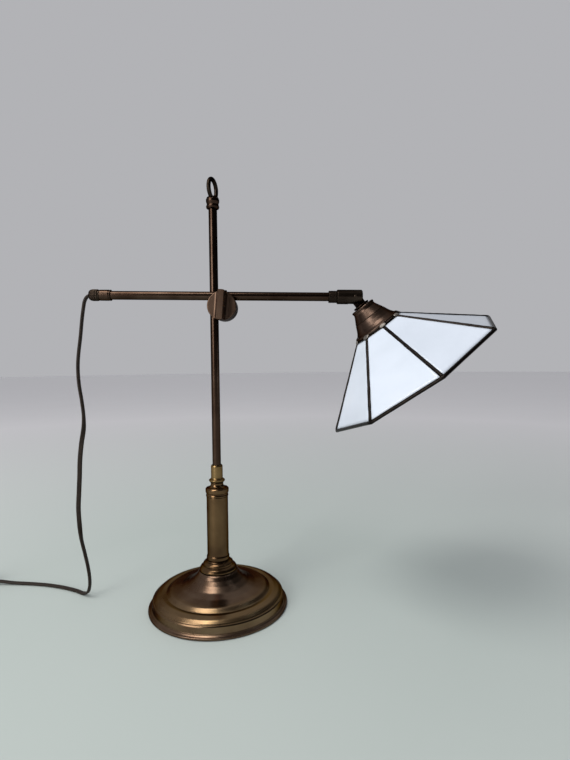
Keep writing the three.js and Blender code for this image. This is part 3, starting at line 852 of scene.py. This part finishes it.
def make_cap():
    outside = [
        (5.4, 13.4), (11.6, 13.4, 0.4), (13.6, 13.6, 0.5), (14.3, 14.4, 0.5), (14.3, 15.6, 0.4), (13.7, 16.3, 0.3),
        (13.8, 17.2, 0.4), (14.2, 18.8, 1.5), (15.5, 21.2, 3.0), (17.2, 24.4, 3.0), (18.7, 26.9, 0.3), (18.5, 27.5, 0.15),
        (19.3, 28.0, 0.3), (20.8, 31.6, 4.0), (22.9, 35.8, 4.0), (25.2, 39.0, 2.5), (26.6, 40.1, 0.4), (27.2, 39.9, 0.4),
        (28.7, 41.2, 0.7), (28.8, 42.4, 0.6), (28.0, 43.4, 0.3),
    ]
    inside = [
        (26.4, 43.3), (24.4, 40.6), (21.8, 36.2), (17.8, 28.2), (14.4, 21.6), (13.0, 17.6), (12.8, 14.5), (5.4, 14.4),
    ]
    return lathe("shade_cap_fine", outside + inside, SHADE, 144)


def make_holder():
    """The bulb holder: a ribbed sleeve, threaded where the shade ring screws on."""
    profile = [(5.3, 14.9), (10.8, 14.9, 0.4), (11.6, 15.8, 0.4), (11.6, 30.0)]
    for i in range(20):
        profile.append((11.2 if i % 2 else 11.8, 31.0 + i * 0.9, 0.25))
    profile += [(11.4, 50.6, 0.2), (11.4, 53.0, 0.4), (7.4, 53.0, 0.3), (7.4, 32.0), (5.3, 32.0)]
    return lathe("lampholder_fine", profile, SHADE, 80, fillet=0.15)


def make_holder_ring():
    profile = [
        (12.1, 49.1), (26.6, 49.1, 0.4), (27.0, 50.0, 0.4), (26.6, 50.9, 0.4), (14.6, 50.9, 0.3), (14.4, 52.6, 0.4),
        (12.1, 52.6, 0.3),
    ]
    grip = knurl(50.2, 53.0, 24, 0.5)
    return lathe("lampholder_ring_fine", profile, SHADE, 192, wobble=grip)


def make_bulb():
    cap = [(0, 33.0), (2.6, 33.0, 0.4), (4.0, 34.2, 0.3), (6.2, 36.4, 0.4)]
    for i in range(12):
        cap.append((6.3 if i % 2 else 6.9, 37.2 + i * 1.2, 0.4))
    cap += [(6.7, 52.2), (6.7, 53.2), (0, 53.2)]
    glass = [
        (6.6, 53.4, 0.2), (7.0, 55.2, 1.5), (9.4, 57.4, 4.0), (14.6, 62.0, 5.0), (19.4, 68.0, 6.0), (22.2, 75.0, 7.0),
        (22.4, 81.6, 7.0), (20.6, 88.6, 7.0), (16.4, 95.0, 6.0), (9.4, 100.4, 6.0), (3.0, 102.4, 3.0), (0, 102.6),
    ]
    inner = [(0, 101.6), (9.0, 99.4, 6.0), (19.4, 88.0, 7.0), (21.2, 79.0, 7.0), (18.6, 69.0, 6.0), (8.6, 58.4, 4.0), (5.6, 53.4)]
    verts_cap = lathe("bulb_cap_fine", cap, SHADE, 48, fillet=0.2)
    globe = open_shell("bulb_glass_fine", glass, inner, SHADE, 96)
    return verts_cap, globe


def open_shell(name, outer, inner, matrix, segments):
    """A shell turned about the axis: the outer profile to the pole, the inner one back from it to the mouth."""
    outline = rounded(outer, closed=False, fillet=0.2), rounded(inner, closed=False, fillet=0.2)
    verts, faces, first_rings, last_rings = [], [], [], []
    for half in outline:
        rings = []
        for r, z in half:
            if r < 1e-6:
                rings.append([len(verts)])
                verts.append(Vector((0, 0, z)) * MM)
                continue
            rings.append(list(range(len(verts), len(verts) + segments)))
            verts += [Vector((r * math.cos(a), r * math.sin(a), z)) * MM
                      for a in (2 * math.pi * k / segments for k in range(segments))]
        for a, b in zip(rings, rings[1:]):
            for k in range(segments):
                n = (k + 1) % segments
                if len(b) == 1:
                    faces.append((a[k], b[0], a[n]))
                elif len(a) == 1:
                    faces.append((a[0], b[k], b[n]))
                else:
                    faces.append((a[k], b[k], b[n], a[n]))
        first_rings.append(rings[0])
        last_rings.append(rings[-1])
    mouth_outer, mouth_inner = first_rings[0], last_rings[1]
    for k in range(segments):
        n = (k + 1) % segments
        faces.append((mouth_outer[k], mouth_outer[n], mouth_inner[n], mouth_inner[k]))
    return mesh_object(name, verts, faces, matrix)


PANE_TOP_S = 44.6                      # the pane's edges, as distances below the pivot
PANE_RIM_S = 108.9
PANE_INSET = 0.9                       # from the corner line, under the seam's bead
PANE_THICK = 3.0


def make_pane(k):
    """One pane of rolled glass: flat, with ground edges and a face that waves a little."""
    a, b = k, k + 1
    columns, rows = 22, 30
    normal = (corner(b, 80) - corner(a, 80)).cross(corner(a, 100) - corner(a, 60)).normalized()
    if normal.dot(Vector((math.cos((a + b) * HALF_SIDE), math.sin((a + b) * HALF_SIDE), 0))) < 0:
        normal = -normal
    front, back = [], []
    for j in range(rows + 1):
        v = j / rows
        s = PANE_TOP_S + (PANE_RIM_S - PANE_TOP_S) * v
        left, right = corner(a, s), corner(b, s)
        across = (right - left).normalized()
        left += across * PANE_INSET
        right -= across * PANE_INSET
        for i in range(columns + 1):
            u = i / columns
            point = left.lerp(right, u)
            near = min(u, 1 - u) * (right - left).length
            near = min(near, v * 90, (1 - v) * 90)
            ground = 0.45 * max(0.0, 1 - near / 0.9)
            wave = 0.16 * noise.noise(Vector((point.x * 0.045 + k * 7.3, point.y * 0.045, point.z * 0.045)))
            front.append((point + normal * (wave - ground)) * MM)
            back.append((point + normal * (wave * 0.6 + ground - PANE_THICK)) * MM)
    wide = columns + 1
    faces = []
    offset = len(front)
    for j in range(rows):
        for i in range(columns):
            q = (j * wide + i, j * wide + i + 1, (j + 1) * wide + i + 1, (j + 1) * wide + i)
            faces.append(q)
            faces.append(tuple(offset + n for n in reversed(q)))
    edge = [i for i in range(wide)]
    edge += [j * wide + columns for j in range(1, rows + 1)]
    edge += [rows * wide + i for i in range(columns - 1, -1, -1)]
    edge += [j * wide for j in range(rows - 1, 0, -1)]
    for p, q in zip(edge, edge[1:] + edge[:1]):
        faces.append((p, q, offset + q, offset + p))
    return mesh_object(f"glass_pane_{k + 1}_fine", front + back, faces, SHADE)


def bead_rings(points, frames, width, rise, depth, seed, rough=0.10):
    """Rings of a solder bead that follows points: a domed top, and a rounder root behind it."""
    rings = []
    for i, (point, (out, side)) in enumerate(zip(points, frames)):
        lump = 1 + rough * noise.noise(Vector((i * 0.31, seed * 3.7, 0.5)))
        drift = 0.12 * noise.noise(Vector((i * 0.2, seed * 5.1, 4.5)))
        ring = []
        for q in range(16):
            angle = 2 * math.pi * q / 16
            x = math.cos(angle)
            y = math.sin(angle)
            high = rise * lump if y > 0 else depth
            shape = math.copysign(abs(y) ** 0.8, y)
            ring.append((point + side * (x * width / 2 * lump + drift) + out * (shape * high)) * MM)
        rings.append(ring)
    return rings


SEAM_WIDTH = 3.9


def make_seam(k):
    angle = 2 * k * HALF_SIDE
    side = Vector((-math.sin(angle), math.cos(angle), 0))
    start, end = corner(k, 43.0, 0.1), corner(k, 109.2, 0.1)
    down = (end - start).normalized()
    out = side.cross(down)
    if out.dot(Vector((math.cos(angle), math.sin(angle), 0))) < 0:
        out = -out
    count = 64
    points = [start.lerp(end, i / count) - out * 1.1 for i in range(count + 1)]
    rings = bead_rings(points, [(out, side)] * (count + 1), SEAM_WIDTH, 1.9, 2.9, k)
    obj = sweep(f"seam_lead_{k + 1}_fine", rings)
    obj.matrix_world = SHADE
    return obj


def octagon_band(name, s, width, rise, depth, seed, per_side=18):
    """A bead round all the sides at a distance s below the pivot, mitred at the corners."""
    points, frames = [], []
    for k in range(SIDES):
        a, b = corner(k, s), corner(k + 1, s)
        middle_angle = (2 * k + 1) * HALF_SIDE
        slant = Vector((math.cos(middle_angle) * SLOPE * math.cos(HALF_SIDE),
                        math.sin(middle_angle) * SLOPE * math.cos(HALF_SIDE), 1)).normalized()
        across = (b - a).normalized()
        out = slant.cross(across)
        if out.dot(Vector((math.cos(middle_angle), math.sin(middle_angle), 0))) < 0:
            out = -out
        for i in range(per_side):
            points.append(a.lerp(b, i / per_side) - out * (PANE_THICK / 2))
            frames.append((out, slant))
    smooth_frames = []
    count = len(frames)
    for i in range(count):
        out = sum((frames[(i + d) % count][0] for d in (-1, 0)), Vector())
        slant = sum((frames[(i + d) % count][1] for d in (-1, 0)), Vector())
        smooth_frames.append((out.normalized(), slant.normalized()))
    rings = bead_rings(points, smooth_frames, width, rise, depth, seed, rough=0.05)
    rings.append(rings[0])
    obj = sweep(name, rings, cap=False)
    bm = bmesh.new()
    bm.from_mesh(obj.data)
    bmesh.ops.remove_doubles(bm, verts=bm.verts, dist=0.000001)
    bm.to_mesh(obj.data)
    bm.free()
    obj.matrix_world = SHADE
    return obj


def make_blob(name, place, size, seed, flat=0.45):
    """A set drop of solder."""
    mesh = bpy.data.meshes.new(name)
    bm = bmesh.new()
    bmesh.ops.create_icosphere(bm, subdivisions=4, radius=1)
    out, side, down = place[1]
    for v in bm.verts:
        lump = 1 + 0.16 * noise.noise(v.co * 1.6 + Vector((seed * 3.1, 0, 0)))
        local = v.co * lump
        point = place[0] + side * local.x * size[0] + down * local.y * size[1] + out * local.z * size[2] * flat
        v.co = point * MM
    bm.to_mesh(mesh)
    bm.free()
    for polygon in mesh.polygons:
        polygon.use_smooth = True
    obj = bpy.data.objects.new(name, mesh)
    obj.matrix_world = SHADE
    bpy.context.scene.collection.objects.link(obj)
    return obj


def corner_axes(k):
    angle = 2 * k * HALF_SIDE
    side = Vector((-math.sin(angle), math.cos(angle), 0))
    down = (corner(k, 100) - corner(k, 50)).normalized()
    out = side.cross(down)
    if out.dot(Vector((math.cos(angle), math.sin(angle), 0))) < 0:
        out = -out
    return out, side, down


def make_shade():
    dress(make_cap(), "aged_brass", "shade", "shade_cap", material=CAP_BRASS)
    dress(make_holder(), "black_plastic", "shade", "lampholder")
    dress(make_holder_ring(), "black_plastic", "shade", "lampholder_ring")
    cap, globe = make_bulb()
    dress(cap, "steel", "shade", "bulb_cap")
    dress(globe, "lamp_glass", "shade", "bulb_glass")
    for k in range(SIDES):
        dress(make_pane(k), "opal_glass", "shade", f"glass_pane_{k + 1}")
        dress(make_seam(k), "lead", "shade", f"seam_lead_{k + 1}")
        size = (4.0, 3.2, 2.4)
        top = make_blob(f"solder_top_{k + 1}", (corner(k, 43.4, 0.6), corner_axes(k)), size, k)
        dress(top, "lead", "shade", material=BRIGHT_SOLDER)
        rim = make_blob(f"solder_rim_{k + 1}", (corner(k, 109.4, -1.2), corner_axes(k)), (2.4, 2.2, 3.6), k + 20)
        dress(rim, "lead", "shade")
    dress(octagon_band("rim_lead_fine", 110.0, 3.8, 1.8, 1.9, 40), "lead", "shade", "rim_lead")
    dress(octagon_band("top_lead_fine", 44.4, 3.0, 2.1, 2.0, 50, per_side=10), "lead", "shade", "top_lead")


make_shade()


# ---- cord: the same points as the CAD route, in metres ----
HANG_ROUTE = [
    (-0.1409, -0.016, 0.3694), (-0.1442, -0.016, 0.3672), (-0.1466, -0.016, 0.363), (-0.1481, -0.016, 0.356),
    (-0.1501, -0.016, 0.343), (-0.1526, -0.016, 0.3214), (-0.1553, -0.016, 0.3019), (-0.1564, -0.016, 0.2874),
    (-0.1557, -0.016, 0.268), (-0.153, -0.016, 0.2483), (-0.1513, -0.016, 0.2312), (-0.152, -0.015, 0.2164),
    (-0.1553, -0.014, 0.199), (-0.1585, -0.012, 0.1788), (-0.1608, -0.009, 0.1583), (-0.1638, -0.005, 0.1372),
    (-0.1666, -0.001, 0.1182), (-0.1677, 0.003, 0.099), (-0.167, 0.006, 0.0772), (-0.1641, 0.008, 0.059),
    (-0.1614, 0.0094, 0.042), (-0.1604, 0.011, 0.028), (-0.1616, 0.0136, 0.016), (-0.1656, 0.0176, 0.0066),
    (-0.173, 0.023, 0.0024), (-0.186, 0.031, 0.002), (-0.206, 0.04, 0.002), (-0.23, 0.0474, 0.002),
    (-0.254, 0.0518, 0.002), (-0.278, 0.0538, 0.0026), (-0.294, 0.054, 0.0044), (-0.3067, 0.054, 0.0056),
]
RUN_ROUTE = [(-0.3633, 0.054, 0.0056), (-0.374, 0.054, 0.0046), (-0.385, 0.054, 0.0032), (-0.395, 0.054, 0.0024)]
TAIL_ROUTE = [(-0.396, -0.0083, 0.0114), (-0.388, -0.0088, 0.0096), (-0.38, -0.0098, 0.0076), (-0.3725, -0.01, 0.007)]
CORD_STEP = 0.002
COIL_CENTRE = (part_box("cord_coil")[0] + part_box("cord_coil")[1]) / 2
COIL_MIDDLE = 0.0284
COIL_TURNS = 6.5
LOWEST_TURN_Z = 0.0024
TURN_PITCH = (5.5 * MM, 3.3 * MM)      # beside and above each other


def smooth_path(points, step):
    """A centripetal Catmull-Rom curve through the points, in steps of about that length."""
    points = [Vector(p) for p in points]
    points = [points[0] * 2 - points[1], *points, points[-1] * 2 - points[-2]]
    out = []
    for p0, p1, p2, p3 in zip(points, points[1:], points[2:], points[3:]):
        t0 = 0.0
        t1 = t0 + math.sqrt((p1 - p0).length)
        t2 = t1 + math.sqrt((p2 - p1).length)
        t3 = t2 + math.sqrt((p3 - p2).length)
        count = max(1, round((p2 - p1).length / step))
        for i in range(count):
            t = t1 + (t2 - t1) * i / count
            a1 = p0.lerp(p1, (t - t0) / (t1 - t0))
            a2 = p1.lerp(p2, (t - t1) / (t2 - t1))
            a3 = p2.lerp(p3, (t - t2) / (t3 - t2))
            b1 = a1.lerp(a2, (t - t0) / (t2 - t0))
            b2 = a2.lerp(a3, (t - t1) / (t3 - t1))
            out.append(b1.lerp(b2, (t - t1) / (t2 - t1)))
    out.append(points[-2])
    return out


def coil_path():
    """The turns, two side by side and four high, from the run's tangent to the tail's."""
    slots = [(1, 0), (0, 0), (0, 1), (1, 1), (1, 2), (0, 2), (0, 3), (1, 3)]
    per_turn = 60
    change_from = 0.62
    points = []
    for i in range(int(COIL_TURNS * per_turn) + 1):
        turn = i / per_turn
        whole = int(turn)
        share = max(0.0, (turn - whole - change_from) / (1 - change_from))
        share = share * share * (3 - 2 * share)
        (side_a, level_a), (side_b, level_b) = slots[whole], slots[whole + 1]
        side = side_a + (side_b - side_a) * share - 0.5
        level = level_a + (level_b - level_a) * share
        radius = COIL_MIDDLE + side * TURN_PITCH[0]
        angle = math.pi / 2 + 2 * math.pi * turn
        points.append(Vector((
            COIL_CENTRE.x + radius * math.cos(angle),
            COIL_CENTRE.y + radius * math.sin(angle),
            LOWEST_TURN_Z + level * TURN_PITCH[1],
        )))
    return points


# the width of the flat cord points along Y where it hangs, and turns to face the front for a stretch
TWIST = [(0.0, 90), (0.145, 90), (0.185, 4), (0.272, 4), (0.312, 90), (1.0, 90)]
FLOOR_FROM = 0.385                     # length of cord from which it lies on its flat side


def twist_at(along):
    for (a, low), (b, high) in zip(TWIST, TWIST[1:]):
        if along <= b:
            share = (along - a) / (b - a)
            share = share * share * (3 - 2 * share)
            return math.radians(low + (high - low) * share)
    return math.radians(TWIST[-1][1])


def lengths_along(path):
    total = [0.0]
    for a, b in zip(path, path[1:]):
        total.append(total[-1] + (b - a).length)
    return total


def flat_frames(path, lying_from):
    """For each point, the direction of the cord's width and of its thickness."""
    along = lengths_along(path)
    frames = []
    wide_before = None
    for i, _ in enumerate(path):
        ahead = (path[min(i + 1, len(path) - 1)] - path[max(i - 1, 0)]).normalized()
        turn = twist_at(along[i])
        hanging = Vector((math.cos(turn), math.sin(turn), 0))
        lying = UP.cross(ahead)
        if lying.dot(hanging) < 0 and along[i] < lying_from + 0.05:
            lying = -lying
        share = min(1.0, max(0.0, (along[i] - lying_from) / 0.04 + 0.5))
        wide = hanging.lerp(lying.normalized(), share) if lying.length > 1e-3 else hanging
        wide = (wide - ahead * wide.dot(ahead)).normalized()
        if wide_before is not None and wide.dot(wide_before) < 0:
            wide = -wide
        wide_before = wide
        frames.append((wide, ahead.cross(wide)))
    return frames


def cord_section():
    """The outline of two cores side by side with a web between them, as (width, thickness) pairs."""
    lobe = CORD_THICK / 2
    apart = CORD_WIDE / 2 - lobe
    points = []
    for side in (1, -1):
        for k in range(9):
            angle = math.radians(-80 + 20 * k) if side == 1 else math.radians(100 + 20 * k)
            points.append((side * apart + lobe * math.cos(angle), lobe * math.sin(angle)))
        points.append((0, side * lobe * 0.72))
    return points


def cord_piece(name, path, frames, first, last):
    section = cord_section()
    rings = []
    for i in range(first, last + 1):
        wide, thick = frames[i]
        rings.append([path[i] + wide * a + thick * b for a, b in section])
    return sweep(name, rings)


def loft(name, sections, matrix=STAND, around=32, power=4.0):
    """Rounded-rectangle sections along X: each (x, half width, half height, middle y, middle z), in mm."""
    rings = []
    for x, wide, high, y, z in sections:
        ring = []
        for k in range(around):
            angle = 2 * math.pi * k / around
            c, s = math.cos(angle), math.sin(angle)
            reach = (abs(c) ** power + abs(s) ** power) ** (-1 / power)
            ring.append(Vector((x, y + wide * c * reach, z + high * s * reach)) * MM)
        rings.append(ring)
    obj = sweep(name, rings)
    obj.matrix_world = matrix
    return obj


def make_plug():
    low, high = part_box("plug_body")
    y = (low.y + high.y) / 2 / MM
    z = (low.z + high.z) / 2 / MM
    back, front = low.x / MM, high.x / MM
    sections = [(back - 9, 2.9, 1.9, y, z)]
    for i in range(6):                 # a ribbed strain relief
        x = back - 8.6 + i * 3.4
        grow = i * 0.34
        sections.append((x, 3.4 + grow, 2.4 + grow * 0.8, y, z))
        sections.append((x + 1.7, 3.4 + grow, 2.4 + grow * 0.8, y, z))
        sections.append((x + 1.9, 2.9 + grow, 1.9 + grow * 0.8, y, z))
        sections.append((x + 3.1, 2.9 + grow, 1.9 + grow * 0.8, y, z))
    neck = back + 14
    wide = (high.y - low.y) / 2 / MM
    tall = (high.z - low.z) / 2 / MM
    sections += [
        (neck, 6.4, 4.6, y, z), (neck + 3.5, 10.5, 5.8, y, z), (neck + 8, wide - 1.4, tall - 0.5, y, z),
        (neck + 12, wide - 0.3, tall - 0.1, y, z), (neck + 20, wide - 0.9, tall - 0.6, y, z),
        (front - 7, wide - 0.3, tall - 0.1, y, z), (front - 1.5, wide - 0.1, tall - 0.1, y, z),
        (front - 0.4, wide - 0.5, tall - 0.5, y, z), (front, wide - 1.6, tall - 1.6, y, z),
    ]
    return loft("plug_body_fine", sections, power=3.2)


def make_plug_pin(node):
    low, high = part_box(node)
    centre = (low + high) / 2
    place = axes((low.x, centre.y, centre.z), (1, 0, 0), (0, 1, 0))
    long = (high.x - low.x) / MM
    profile = [(0, -1), (2.0, -1), (2.0, 10), (1.95, long - 2.2, 0.6), (1.1, long, 0.7), (0, long)]
    sleeve = [(0, -1), (2.4, -1), (2.4, 9.6, 0.3), (2.0, 10), (0, 10)]
    return lathe(f"{node}_fine", profile, place, 32), lathe(f"{node}_sleeve", sleeve, place, 32)


def make_switch():
    low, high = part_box("switch_body")
    y = (low.y + high.y) / 2 / MM
    x = (low.x + high.x) / 2 / MM
    long, wide = (high.x - low.x) / 2 / MM, (high.y - low.y) / 2 / MM
    top = high.z / MM
    sections = []
    for share, w, h in ((-1.0, 0.32, 0.45), (-0.97, 0.42, 0.58), (-0.88, 0.66, 0.74), (-0.74, 0.93, 0.93), (-0.6, 1, 1),
                        (-0.3, 1, 1), (0, 1, 1), (0.3, 1, 1), (0.6, 1, 1), (0.74, 0.93, 0.93), (0.88, 0.66, 0.74),
                        (0.97, 0.42, 0.58), (1.0, 0.32, 0.45)):
        half = top / 2 * h
        sections.append((x + long * share, wide * w, half, y, half + 0.05 + (1 - h) * 2.2))
    body = loft("switch_body_fine", sections, power=3.4)
    pocket = box("pocket", (x - 8.7, x + 8.7), (y - 4.9, y + 4.9), (7.4, top + 4))
    combine(body, [pocket], "DIFFERENCE")
    return soften(body, 0.5, segments=2, angle=40)


def make_rocker():
    tilt = Matrix.Translation(ROCKER_PIVOT) @ Matrix.Rotation(math.radians(8), 4, "Y")
    outline = [(-8, 0), (-6, -2.6), (6, -2.6), (8, 0), (8, 2.8), (4, 3.1), (0, 3.9), (-4, 3.1), (-8, 2.8)]
    verts = [Vector((a, side * 4.5, b)) * MM for side in (-1, 1) for a, b in outline]
    count = len(outline)
    faces = [tuple(range(count)), tuple(range(2 * count - 1, count - 1, -1))]
    faces += [(k, (k + 1) % count, (k + 1) % count + count, k + count) for k in range(count)]
    return soften(mesh_object("switch_rocker_fine", verts, faces, tilt, smooth=False), 0.5)


def make_tie():
    """A thin band wrapped round all the turns at one place."""
    low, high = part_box("cord_tie")
    centre = (low + high) / 2
    half_x, half_z = (high.x - low.x) / 2 / MM - 0.4, (high.z - low.z) / 2 / MM - 0.4
    rings = []
    count = 64
    for k in range(count + 1):
        angle = 2 * math.pi * k / count
        c, s = math.cos(angle), math.sin(angle)
        reach = (abs(c) ** 6 + abs(s) ** 6) ** (-1 / 6)
        point = Vector((half_x * c * reach, 0, half_z * s * reach))
        out = Vector((c, 0, s))
        rings.append([centre + (point + out * a + Vector((0, b, 0))) * MM
                      for a, b in ((-0.4, -3.6), (-0.4, 3.6), (0.1, 4.0), (0.4, 3.4), (0.4, -3.4), (0.1, -4.0))])
    obj = sweep("cord_tie_fine", rings, cap=False)
    bm = bmesh.new()
    bm.from_mesh(obj.data)
    bmesh.ops.remove_doubles(bm, verts=bm.verts, dist=0.000001)
    bm.to_mesh(obj.data)
    bm.free()
    return obj


def make_cords():
    """The hanging length is one cord cut in pieces at set heights; the top piece rides on the arm, the others are fixed
    where they are made. The rest lies still.
    """
    path = smooth_path([(-0.1345, -0.016, 0.3696), *HANG_ROUTE], CORD_STEP)
    frames = flat_frames(path, FLOOR_FROM)

    def at_height(z):
        return next(i for i, p in enumerate(path) if p.z < z)

    cuts = [0, at_height(0.345), at_height(0.275), at_height(0.185), at_height(0.03), len(path) - 1]
    names = ["cord_top", "cord_upper", "cord_middle", "cord_lower", "cord_floor"]
    pairs = [None, ("arm", "front_clamp"), ("front_clamp", "rear_clamp"), ("rear_clamp", "mast"), ("mast", "stand")]
    for name, pair, first, last in zip(names, pairs, cuts, cuts[1:]):
        obj = cord_piece(name, path, frames, first, last)
        obj.data.materials.append(SLOTS["cord"])
        if pair is None:
            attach(obj, "arm")
        else:
            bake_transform(obj)
        if name == "cord_lower":
            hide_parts("cord_hang")

    tail = smooth_path([*coil_path()[::5], *TAIL_ROUTE, (-0.3680, -0.01, 0.007)], CORD_STEP)
    run = smooth_path([(-0.3560, 0.054, 0.0056), *RUN_ROUTE, coil_path()[0]], CORD_STEP)
    path = run[:-1] + tail
    frames = flat_frames(path, -1.0)
    plug = dress(make_plug(), "black_plastic", "stand", "plug_body")
    for node in ("plug_pin_1", "plug_pin_2"):
        pin, sleeve = make_plug_pin(node)
        dress(pin, "steel", "stand", node)
        dress(sleeve, "black_plastic", "stand")
    switch = dress(make_switch(), "black_plastic", "stand", "switch_body")
    rocker = dress(make_rocker(), "black_plastic", "rocker", "switch_rocker")
    tie = dress(make_tie(), "black_plastic", "stand", "cord_tie")
    rest = cord_piece("cord_rest", path, frames, 0, len(path) - 1)
    dress(rest, "cord", "stand", "cord_run", "cord_coil", "cord_tail")


make_cords()


# ---- floor and light ----
def make_floor():
    """A pale floor, faintly green round the lamp and greyer far from it, where it is painted lighter in place of the
    light that falls off with distance.
    """
    radius, sides = 12.0, 96
    turns = [2 * math.pi * k / sides for k in range(sides)]
    floor = mesh_object("floor", [(radius * math.cos(a), radius * math.sin(a), 0) for a in turns], [tuple(range(sides))])
    n = Nodes("floor")
    distance = n.add("ShaderNodeVectorMath", operation="LENGTH")
    n.link(n.place(), distance.inputs[0])
    # painted light: the floor's colour grows lighter with distance from the lamp, standing in for the lamps' light that
    # falls off there
    far_painted_light = n.ramp(n.times(distance.outputs["Value"], 0.25), [(0.07, (0, 0, 0)), (0.5, (1, 1, 1))])
    pale = n.mix(far_painted_light, (0.50, 0.56, 0.535), (0.95, 0.94, 0.955))
    pale = n.mix(n.scaled(n.noise(3, detail=3), 0, 0.06), pale, (0.7, 0.7, 0.7))
    n.set(Base_Color=pale, Roughness=0.65, Specular_IOR_Level=0.3)
    floor.data.materials.append(n.material)


def area_light(name, place, target, size, power, color=(1, 1, 1)):
    data = bpy.data.lights.new(name, "AREA")
    data.shape = "RECTANGLE"
    data.size, data.size_y = size
    data.energy = power
    data.color = color
    light = bpy.data.objects.new(name, data)
    light.location = place
    light.rotation_euler = (Vector(target) - Vector(place)).to_track_quat("-Z", "Y").to_euler()
    bpy.context.scene.collection.objects.link(light)


def make_world():
    """Soft light on matt things, and a darker room for the metal to mirror."""
    world = bpy.data.worlds.new("studio")
    bpy.context.scene.world = world
    world.use_nodes = True
    tree = world.node_tree
    background = tree.nodes["Background"]
    background.inputs["Color"].default_value = (0.93, 0.935, 0.975, 1)
    direction = tree.nodes.new("ShaderNodeTexCoord")
    toward = tree.nodes.new("ShaderNodeVectorMath")
    toward.operation = "DOT_PRODUCT"
    toward.inputs[1].default_value = (-0.62, 0.55, 0.55)
    tree.links.new(direction.outputs["Generated"], toward.inputs[0])
    mirrored = tree.nodes.new("ShaderNodeMapRange")
    mirrored.interpolation_type = "SMOOTHSTEP"
    mirrored.inputs["From Min"].default_value = -0.15
    mirrored.inputs["From Max"].default_value = 0.9
    mirrored.inputs["To Min"].default_value = 0.02
    mirrored.inputs["To Max"].default_value = 0.45
    tree.links.new(toward.outputs["Value"], mirrored.inputs["Value"])
    path = tree.nodes.new("ShaderNodeLightPath")
    strength = tree.nodes.new("ShaderNodeMapRange")
    strength.inputs["To Min"].default_value = 0.48
    tree.links.new(mirrored.outputs[0], strength.inputs["To Max"])
    tree.links.new(path.outputs["Is Glossy Ray"], strength.inputs["Value"])
    tree.links.new(strength.outputs[0], background.inputs["Strength"])


make_floor()
make_world()
area_light("window", (-1.75, -2.16, 1.10), (0.05, 0, 0.24), (1.35, 1.71), 43.7, (1.0, 0.985, 0.96))
area_light("overhead", (-0.5, -0.5, 1.6), (0.05, 0, 0.2), (0.75, 0.75), 12, (1.0, 0.985, 0.95))
bpy.context.scene.view_settings.view_transform = "Standard"
